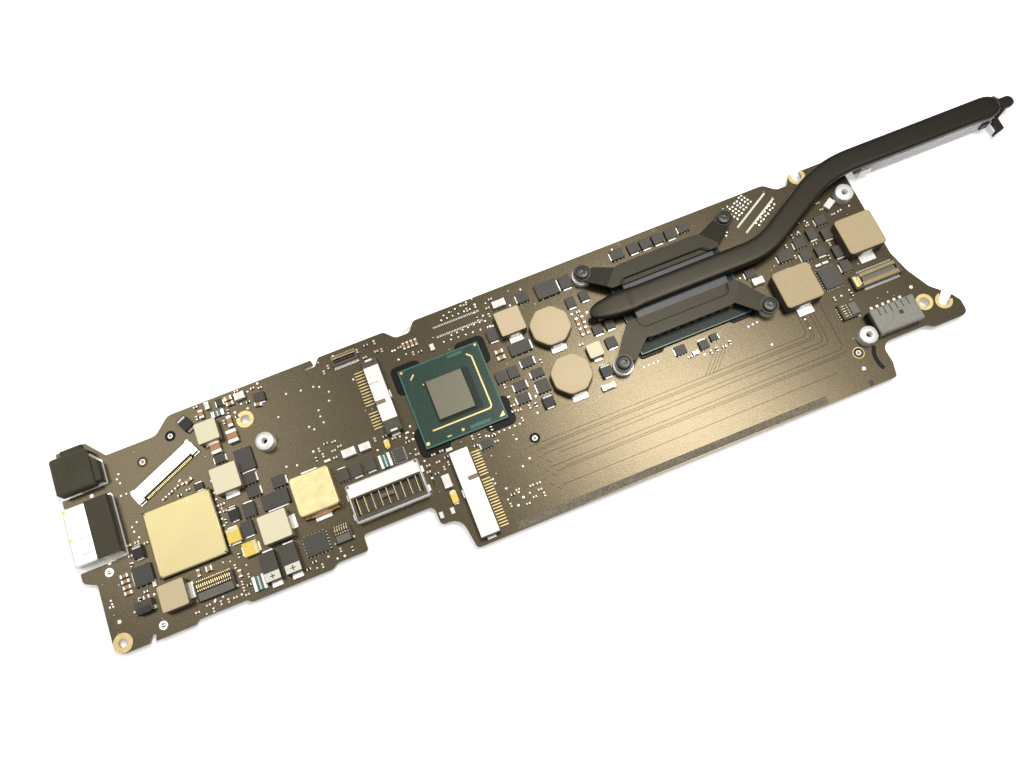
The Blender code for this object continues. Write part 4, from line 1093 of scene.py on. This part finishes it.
def build_screws():
    """Cooler screws with a six-lobed recess, on bright threaded posts."""
    for number in range(1, 5):
        node = f"cooler_screw_{number}"
        x, y, z = span(node)
        centre = (middle(x), middle(y))
        top = z[1]
        screw = Piece("fine_" + node, DARK_COAT)
        profile = [(0.9, 0.3), (0.9, z[0] - 0.1), (1.9, z[0]), (1.9, top - 0.35), (1.72, top - 0.12),
                   (1.4, top)]
        rings = [[(*spot, height) for spot in circle(centre, radius, 36)] for radius, height in profile]
        for radius, height in ((0.85, top), (0.8, top - 0.5), (0.3, top - 0.55)):
            lobes = []
            for step in range(36):
                turn = 2 * math.pi * step / 36
                reach = radius * (1 + 0.16 * math.cos(6 * turn))
                lobes.append((centre[0] + reach * math.cos(turn), centre[1] + reach * math.sin(turn), height))
            rings.append(lobes)
        screw.loft(rings)
        screw.done("black_coated_metal", replaced=[node], sharp=30.0)

        post = f"cooler_post_{number}"
        x, y, z = span(post)
        nut = Piece("fine_" + post, STEEL)
        flange = 2.7 if number % 2 else 2.25
        profile = [(1.05, z[1]), (2.0, z[1]), (2.2, z[1] - 0.2), (2.2, 1.6), (flange - 0.04, 1.5),
                   (flange, 1.3), (flange, z[0]), (1.05, z[0])]
        nut.turned(profile, (middle(x), middle(y)), 0, 40, closed=True)
        nut.done("steel", replaced=[post], bevel=0.04)


def build_posts():
    for node in ("wireless_card_post", "storage_card_post", "fan_post"):
        x, y, z = span(node)
        radius, top, bottom = (x[1] - x[0]) / 2, z[1], z[0]
        post = Piece("fine_" + node, STEEL, BLACK_PLASTIC)
        bore = 0.7
        profile = [(bore + 0.22, top), (radius - 0.28, top), (radius, top - 0.22), (radius, 0.5),
                   (radius + 0.08, bottom), (bore, bottom)]
        count = 12
        for step in range(count):
            height = bottom + 0.2 + (top - bottom - 0.5) * step / count
            profile += [(bore, height), (bore + 0.07, height + 0.08)]
        profile.append((bore, top - 0.25))
        post.turned(profile, (middle(x), middle(y)), 0, 40, closed=True)
        # black fill at the foot of the bore: painted shade inside the hole
        post.turned([(bore - 0.02, 0.5), (bore - 0.02, bottom)], (middle(x), middle(y)), 1, 24)
        post.done("steel", replaced=[node], sharp=40.0)


def build_fins():
    """Thin folded fins between a roof and a floor sheet, open along Y, with the end bracket."""
    x, y, z = span("fin_stack")
    fins = Piece("fine_fin_stack", ALUMINIUM)
    pitch, thick, lip = 0.8, 0.14, 0.5
    count = int((x[1] - x[0] - thick) / pitch) + 1
    for index in range(count):
        at = x[0] + index * pitch
        fins.box((at, at + thick), y, inset(z, 0.12))
        for height in ((z[0], z[0] + 0.12), (z[1] - 0.12, z[1])):
            fins.box((at, min(at + lip, x[1])), inset(y, 0.02), height)
    fins.box(x, inset(y, 0.3), (z[1] - 0.1, z[1] - 0.02))
    fins.box(x, inset(y, 0.3), (z[0] + 0.02, z[0] + 0.1))
    fins.done("bare_aluminium", replaced=["fin_stack"])

    refine("fin_bracket", 0.2, 3)
    pads = Piece("fin_stack_pads", WHITE_PLASTIC, COATED)
    pads.plate(rectangle((x[0] - 0.4, x[0] + 3.1), (y[0] - 0.5, y[0] - 0.05), 0.2), (-0.9, 1.6))
    pads.plate(rectangle((x[1] - 3.8, x[1] - 1.4), (y[0] - 0.6, y[0] - 0.05), 0.2), (-0.6, 1.9), paint=1)
    pads.plate(rectangle((x[0] - 1.6, x[0] - 0.1), (y[0] + 0.2, y[1] - 0.4), 0.3), (0.4, 2.7), paint=1)
    pads.done("grey_plastic", bevel=0.12, segments=2)
    refine("cold_plate", 0.1, material=BLUED_COAT)


# --- small parts ----------------------------------------------------------------------------------

def chip(piece, length, width, height, base=0.05, body=0, metal=1):
    """A part with a wrapped terminal at each end, along the piece's own X."""
    end = length * 0.24
    piece.block(0.0, 0.0, length - end, width - 0.04, (base, base + height), body)
    for hand in (-1, 1):
        piece.block(hand * (length - end) / 2, 0.0, end, width, (base, base + height + 0.03), metal)


TAKEN = [[span(node)[axis] for axis in (0, 1)] for node in frame["nodes"]
         if node not in ("circuit_board", "heat_pipe") and not node.startswith("memory_chip")]


def take(x, y, width, depth):
    TAKEN.append([around(x, width), around(y, depth)])


def is_free(x, y, reach):
    return all(not (a[0] - reach < x < a[1] + reach and b[0] - reach < y < b[1] + reach) for a, b in TAKEN)


# (x, y, width, depth, sides that show a terminal)
TRANSISTORS = (
    (-85.6, -14, 4.8, 4.8, "w"), (-66.9, 1.9, 2.2, 1.5, "ns"), (-60, 6.6, 2.6, 2.2, "ew"),
    (-54.2, 4, 4.4, 5.8, "s"), (-54.5, -1, 3.2, 3, "e"), (-54.5, -4.6, 3.2, 2.8, "e"),
    (-56.8, -8.6, 3, 3.6, "n"), (-58.5, -12.8, 2.8, 3.6, "s"), (-47.9, -4.6, 3.4, 2.8, "e"),
    (-50, -8.6, 6.8, 3.8, "s"), (-32.4, -9.2, 2.6, 3.2, "n"), (-29, -9.2, 2.7, 3.2, "s"),
    (-25.4, -9.2, 2.7, 3.2, "s"), (-46, 18.2, 2.9, 2.4, "s"), (-56, 20.7, 1.5, 2, "ew"),
    (13.2, -0.6, 2.7, 3, ""), (16.5, -0.6, 2.7, 3, ""), (20.9, 0.6, 3.2, 2.5, "ew"),
    (16.8, -4.6, 3.2, 2.5, "ew"), (16.3, -8, 3.2, 2.5, "ew"), (20.6, 4.9, 5.6, 3.2, "e"),
    (15.2, 10.8, 2.6, 3.2, "s"), (22.1, -3.1, 3.2, 2.2, "w"), (22.1, -6.9, 3.2, 3.4, "w"),
    (3.3, -15.5, 2.8, 2, "w"), (26.3, 17.6, 3, 2.8, "w"), (33.1, 17.2, 6, 4.2, "e"),
    (38.3, 17.2, 3, 3.4, "s"), (37.4, 11.4, 2.4, 2.8, "s"), (41.3, 11.8, 2.4, 2.6, "s"),
    (40.9, 1.8, 2.6, 2.5, "s"), (44.3, 1.8, 2.4, 2.3, "s"), (42.7, -2.8, 2.8, 2.8, "s"),
    (54, 19.2, 3.4, 2.8, "w"), (58.6, 19.2, 2.8, 2.8, "s"), (62.1, 19.2, 2.8, 2.8, "s"),
    (65.6, 19.2, 2.8, 2.8, "s"), (69.3, 19.2, 2.8, 2.8, "s"), (73.2, 19.4, 2.8, 2.4, "w"),
    (58.1, -11.5, 2.8, 2.4, "w"), (64.2, -12.4, 2.4, 2.4, "n"), (67.4, -11.6, 2, 1.8, "e"),
    (83.7, 0.6, 2.8, 2.2, "w"), (93.9, 1.5, 3.4, 2.6, "w"), (99.2, 3.4, 2.8, 2.6, "w"),
    (103.4, 4.6, 2.4, 3, "s"), (107.4, 7.3, 2.9, 2.5, "w"), (107.2, 3.2, 2.8, 3, "s"),
    (99.3, -0.4, 2.7, 2.8, "w"), (103.3, -0.6, 2.6, 2.6, "s"), (107.5, -2.5, 2.7, 3.2, "s"),
    (107.3, -7, 2.6, 3.2, "w"))

# (x, y, width, depth, contacts along a side)
QUAD_CHIPS = ((-44.0, -22.8, 5.8, 5.0, 6), (102.2, -8.2, 5.0, 6.0, 8), (-17.8, -9.7, 2.8, 3.4, 6))

# kind: its (x, y, length, width, height, turn)
CHIP_PARTS = {
    "brown_capacitors": (
        (-60.1, 9.8, 3.4, 2.5, 1.2, 90), (-55.3, 10.9, 3.4, 2.6, 1.2, 90), (-61.2, 19.6, 2.2, 1.2, 0.8, 90),
        (-53.6, 21, 2, 1.2, 0.8, 0), (-53.5, 19.5, 2, 1, 0.8, 0), (-54.9, 15, 3, 1.2, 0.8, 90),
        (-90.1, -12.4, 2, 0.9, 0.6, 0), (-90.1, -13.8, 2, 0.9, 0.6, 0), (-90.1, -15.3, 2, 0.9, 0.6, 0),
        (-90.1, -16.7, 2, 0.9, 0.6, 0), (-72.9, -18.6, 1.8, 0.8, 0.6, 90), (-70.2, -18.5, 1.6, 1.4, 0.8, 0),
        (-63.5, -22.5, 1.9, 0.9, 0.6, 90), (15.2, 6, 2.2, 1, 0.7, 0), (15.2, 4.2, 2.2, 1, 0.7, 0),
        (37, 5.8, 2.2, 0.8, 0.6, 90), (38.6, 5.8, 2.2, 0.8, 0.6, 90), (36.9, 2.8, 2.2, 0.8, 0.6, 90),
        (38.4, 2.8, 2.2, 0.8, 0.6, 90), (-46.8, 16.5, 2, 1, 0.8, -15), (-68.9, 4.3, 2, 0.8, 0.6, 24.5),
        (-7, 16.9, 1.9, 0.7, 0.5, 90), (-5.9, 16.9, 1.9, 0.7, 0.5, 90), (-4.8, 16.9, 1.9, 0.7, 0.5, 90),
        (-3.7, 16.9, 1.9, 0.7, 0.5, 90), (-70.8, 4.6, 1.6, 0.8, 0.5, 114.5),
        (-72.2, 3.9, 1.3, 0.6, 0.4, 24.5), (-74, 3.1, 1.3, 0.6, 0.4, 24.5), (-75.8, 2.3, 1.3, 0.6, 0.4, 24.5)),
    "pale_capacitors": (
        (-29.3, -4.4, 3.5, 2.1, 1.2, 0), (-25.1, -4.5, 2.9, 1.9, 1.2, 0), (-9.1, -20.6, 3.4, 2, 1.3, 90),
        (20, 18.2, 3.5, 1.9, 1.3, 0), (37.4, -13.4, 3.6, 1.5, 0.9, 0), (111.6, 10.6, 3, 1.9, 1.2, 30),
        (84.5, -2.1, 3, 1.9, 1.2, 0), (-50.6, 20.4, 2.6, 1.9, 1.2, 0), (-13.3, -27.8, 1.6, 1, 0.5, 90),
        (-10.4, -27.8, 1.6, 1, 0.5, 90), (-0.3, 13.8, 1.8, 1.2, 0.6, 90), (61.4, -13.6, 1.6, 1.1, 0.6, 0),
        (-83.6, -16.8, 1.8, 0.9, 0.6, 90), (-59.2, 21.2, 2, 1.2, 0.8, 90), (-5.8, -13.2, 1.6, 0.9, 0.5, 0),
        (-35, -4.2, 1.6, 0.7, 0.5, 0), (103, -4, 1.6, 0.7, 0.5, 0), (101, -4, 1.6, 0.7, 0.5, 0)),
    "yellow_capacitors": (
        (-62.1, -13.2, 4.2, 3.2, 1.4, 90), (-59.2, -17.9, 4.2, 3.4, 1.4, 0), (-8.8, -24.9, 3.4, 1.6, 1.1, 90),
        (-19.7, -5.9, 2.2, 1.3, 0.9, 90)),
    "sense_resistors": (
        (-59.7, -26.4, 3.2, 3.7, 0.6, 0), (-21.5, -9.8, 3, 3.6, 0.6, 0), (-57.2, 18.2, 3.3, 1.6, 0.6, 0)),
    "tantalum_capacitors": (
        (-65.6, 18.6, 4.2, 2.6, 1.7, 115), (-85.2, -8.2, 3.6, 2.4, 1.5, 90), (-60.7, -8.1, 3.8, 2.3, 1.5, 90),
        (21.9, -11.2, 3.4, 2.8, 1.7, 90), (38.5, -9.4, 3.6, 2.8, 1.7, 90))}

# (x range, y range, how many) of the fields of smallest parts
FIELDS = (
    ((-12.6, -6.8), (-18.6, -12.4), 16), ((-24, -12.6), (-8, -3.4), 16), ((-38, -30), (-4.6, 0.4), 9),
    ((0.6, 6.2), (-17, -11.4), 16), ((3, 12.6), (-33.6, -29), 14), ((-63, -44), (15.4, 22.2), 26),
    ((11.6, 19.4), (13.6, 21.6), 12), ((-8.2, -2.6), (13.6, 18.4), 12), ((59.6, 72), (-15, -10.2), 12),
    ((80.8, 86), (-5.4, 2), 8), ((100, 107), (-14.6, -10.8), 9), ((-67, -61.6), (-28, -18.2), 15),
    ((-49, -36), (-28.4, -25.6), 9), ((11.6, 25), (-13, 2), 18), ((-77, -66), (1.4, 6.6), 8),
    ((95.6, 109.6), (-9.8, 9.4), 22), ((108.8, 114), (7.4, 12.2), 7), ((-30, -12.4), (17.8, 22), 12),
    ((-88, -83), (-19.4, -5.4), 8), ((-14.8, -12.6), (-11.4, -5), 10), ((34.8, 46), (-6, 14), 14),
    ((-63.8, -62.6), (-11, 4), 9), ((-76, -62), (-28.6, -26), 7), ((50, 78), (15.9, 17.4), 26))


def build_transistors():
    cases = Piece("transistor_packages", MOULD, SOLDER_TIN)
    places = {"n": (0, 1), "s": (0, -1), "e": (1, 0), "w": (-1, 0)}
    for x, y, width, depth, sides in TRANSISTORS:
        cases.move_to(x, y)
        take(x, y, width + 0.6, depth + 0.6)
        cases.block(0.0, 0.0, width, depth, (0.08, 0.98))
        cases.turned([(0.14, 0.99), (0.14, 0.97)], (-width / 2 + 0.5, depth / 2 - 0.5), 0, 10)
        for side in sides:
            across, up = places[side]
            if up:
                tab_x = around(0.0, width * 0.78)
                tab_y = sorted((up * depth / 2, up * (depth / 2 + 0.42)))
            else:
                tab_x = sorted((across * width / 2, across * (width / 2 + 0.38)))
                tab_y = around(0.0, depth * 0.75)
            cases.box(tab_x, tab_y, (0.0, 0.28), 1)
        for step in range(3):
            lead_x = around((step - 1) * width * 0.3, 0.3)
            cases.box(lead_x, (-depth / 2 - 0.2, depth / 2 + 0.2), (0.0, 0.16), 1)
    cases.done("mould_compound", bevel=0.07, segments=2)


def build_quad_chips():
    flats = Piece("quad_flat_chips", MOULD, SOLDER_TIN)
    for x, y, width, depth, count in QUAD_CHIPS:
        flats.move_to(x, y)
        take(x, y, width + 1.2, depth + 1.2)
        flats.block(0.0, 0.0, width, depth, (0.05, 0.9))
        flats.turned([(0.25, 0.91), (0.25, 0.89)], (-width / 2 + 0.7, depth / 2 - 0.7), 0, 14)
        for step in range(count):
            share = (step + 0.5) / count - 0.5
            flats.block(share * width, 0.0, 0.26, depth + 0.5, (0.0, 0.14), 1)
            flats.block(0.0, share * depth, width + 0.5, 0.26, (0.0, 0.14), 1)
    flats.done("mould_compound", bevel=0.05, segments=2)


def build_chip_parts():
    bodies = {"brown_capacitors": BROWN_CERAMIC, "pale_capacitors": WHITE_PLASTIC,
              "yellow_capacitors": YELLOW_CASE, "sense_resistors": BLUE_GLAZE,
              "tantalum_capacitors": BLACK_GLAZE}
    for name, rows in CHIP_PARTS.items():
        parts = Piece(name, bodies[name], SOLDER_TIN, INK)
        for x, y, length, width, height, turn in rows:
            size = max(length, width) if turn % 90 else None
            upright = turn == 90.0
            take(x, y, size or (width if upright else length), size or (length if upright else width))
            parts.move_to(x, y, turn=turn)
            if name in ("tantalum_capacitors", "yellow_capacitors"):
                parts.block(0.0, 0.0, length * 0.86, width, (0.12, height))
                for hand in (-1, 1):
                    parts.block(hand * length * 0.46, 0.0, length * 0.16, width * 0.7, (0.0, 0.5), 1)
                stripe = around(length * 0.3, length * 0.12)
                parts.box(stripe, around(0.0, width * 0.86), (height - 0.02, height + 0.015), 2)
            else:
                chip(parts, length, width, height)
            if name == "sense_resistors":
                parts.block(0.0, 0.0, length * 0.12, width * 0.9, (0.6, 0.67), 2)
        parts.done("mould_compound", bevel=0.06, segments=2)

    cans = Piece("polymer_capacitors", MOULD, SOLDER_TIN, INK)
    for x in (-56.0, -50.8):
        cans.move_to(x, -24.0)
        take(x, -24.0, 4.6, 9.4)
        cans.box(around(0.0, 4.0), (-3.6, 3.7), (0.15, 1.9))
        cans.box((-1.9, 1.9), (-3.4, -1.3), (1.88, 1.915), 2)
        cans.box((-0.12, 0.12), (-3.0, -1.7), (1.9, 1.93))
        cans.box((-0.65, 0.65), (-2.47, -2.23), (1.9, 1.93))
        for end in ((-4.9, -3.5), (3.6, 4.3)):
            cans.box(around(0.3, 2.6), end, (0.0, 0.6), 1)
    cans.done("mould_compound", bevel=0.12, segments=2)


def build_smallest_parts():
    """Fields of the smallest resistors, capacitors and vias, which keep clear of everything placed before."""
    draw = random.Random(SEED)
    tiny = Piece("smallest_chip_parts", BROWN_CERAMIC, SOLDER_TIN, BLACK_GLAZE)
    holes = Piece("scattered_vias", SOLDER_TIN)
    for across, up, count in FIELDS:
        for _ in range(count):
            for _ in range(30):
                x, y = draw.uniform(*across), draw.uniform(*up)
                if is_free(x, y, 0.75):
                    break
            else:
                continue
            take(x, y, 1.3, 1.3)
            if draw.random() < 0.3:
                via(holes, x, y, draw.choice((0.2, 0.26, 0.32)))
                continue
            tiny.move_to(x, y, turn=draw.choice((0.0, 90.0)))
            chip(tiny, 1.05, 0.55, 0.42, body=draw.choice((0, 0, 2)))
    for _ in range(260):
        x, y = draw.uniform(-96.0, 119.0), draw.uniform(-30.0, 22.0)
        bare = 12.0 < x < 98.0 and y < -14.0 or -46.0 < x < -22.0 and y > -2.0
        if is_free(x, y, 0.5) and not bare and on_board(x, y):
            via(holes, x, y, draw.choice((0.09, 0.11, 0.13)))
    tiny.done("mould_compound", bevel=0.03)
    holes.done("steel")


def on_board(x, y):
    """Well inside the board's edge, clear of its notches."""
    if x < -89.0 and y > -11.5 or x < -86.0 and y > 8.0 or -92.0 < x < -70.0 and y > 17.5:
        return False
    if -36.0 < x < -6.0 and y < -23.5 or x < -36.0 and y < -28.5:
        return False
    if x > 104.0 and (y < -28.0 or y > 18.5 or y < -16.0 and x > 118.0):
        return False
    return not (-12.0 < x < -1.0 and y > 18.6)


def build_underside():
    """Decoupling parts and test points on the face that the memory chips are on."""
    draw = random.Random(SEED + 1)
    parts = Piece("underside_chip_parts", BROWN_CERAMIC, SOLDER_TIN, BLACK_GLAZE)
    used = []
    for node, margin in (("chipset_package", 2.0), ("processor_package", 3.0)):
        x, y, _ = span(node)
        for _ in range(70):
            at = (draw.uniform(*inset(x, margin)), draw.uniform(*inset(y, margin)))
            parts.move_to(round(at[0] / 1.7) * 1.7, round(at[1] / 1.7) * 1.7, turn=90.0)
            parts.place = parts.place @ Matrix.Rotation(math.pi, 4, "X")
            parts.place.translation.z = -1.0
            if any(abs(parts.place.translation.x - px) + abs(parts.place.translation.y - py) < 0.1
                   for px, py in used):
                continue
            used.append(tuple(parts.place.translation[:2]))
            chip(parts, 1.05, 0.55, 0.45)
    for _ in range(240):
        x, y = draw.uniform(-90.0, 116.0), draw.uniform(-28.0, 18.0)
        if on_board(x, y):
            parts.move_to()
            parts.turned([(0.3, -1.0), (0.3, -1.03)], (x, y), 1, 10)
    parts.done("mould_compound")


build_board()
build_traces()
build_vias()
build_usb_port()
build_video_port()
build_display_socket()
build_flip_socket("keypad_socket", (-69.9, -23.1), 0.0, 9.8, 4.7, 17)
build_flip_socket("backlight_socket", (-37.3, -23.0), 0.0, 4.6, 3.9, 6)
build_flip_socket("fan_socket", (102.2, -18.2), 90.0, 4.4, 4.7, 5)
build_battery_socket()
build_card_socket("wireless_socket", (-21.5, -19.0), ((5.4, 12, 0.84), (-1.1, 6, 0.84)), 4.4, -1)
build_card_socket("storage_socket", (-1.1, 1.2), ((-35.8, 17, 0.77), (-22.2, 9, 0.77)), -22.3, 1)
build_io_sockets()
build_small_connectors()
build_shield_can()
build_chipset()
build_processor()
build_memory_chips()
build_inductors()
build_heat_pipe()
build_bracket("spring_bracket_near", -1)
build_bracket("spring_bracket_far", 1)
build_screws()
build_posts()
build_fins()
build_transistors()
build_quad_chips()
build_chip_parts()
build_smallest_parts()
build_underside()
build_stage()
build_lights_and_camera()
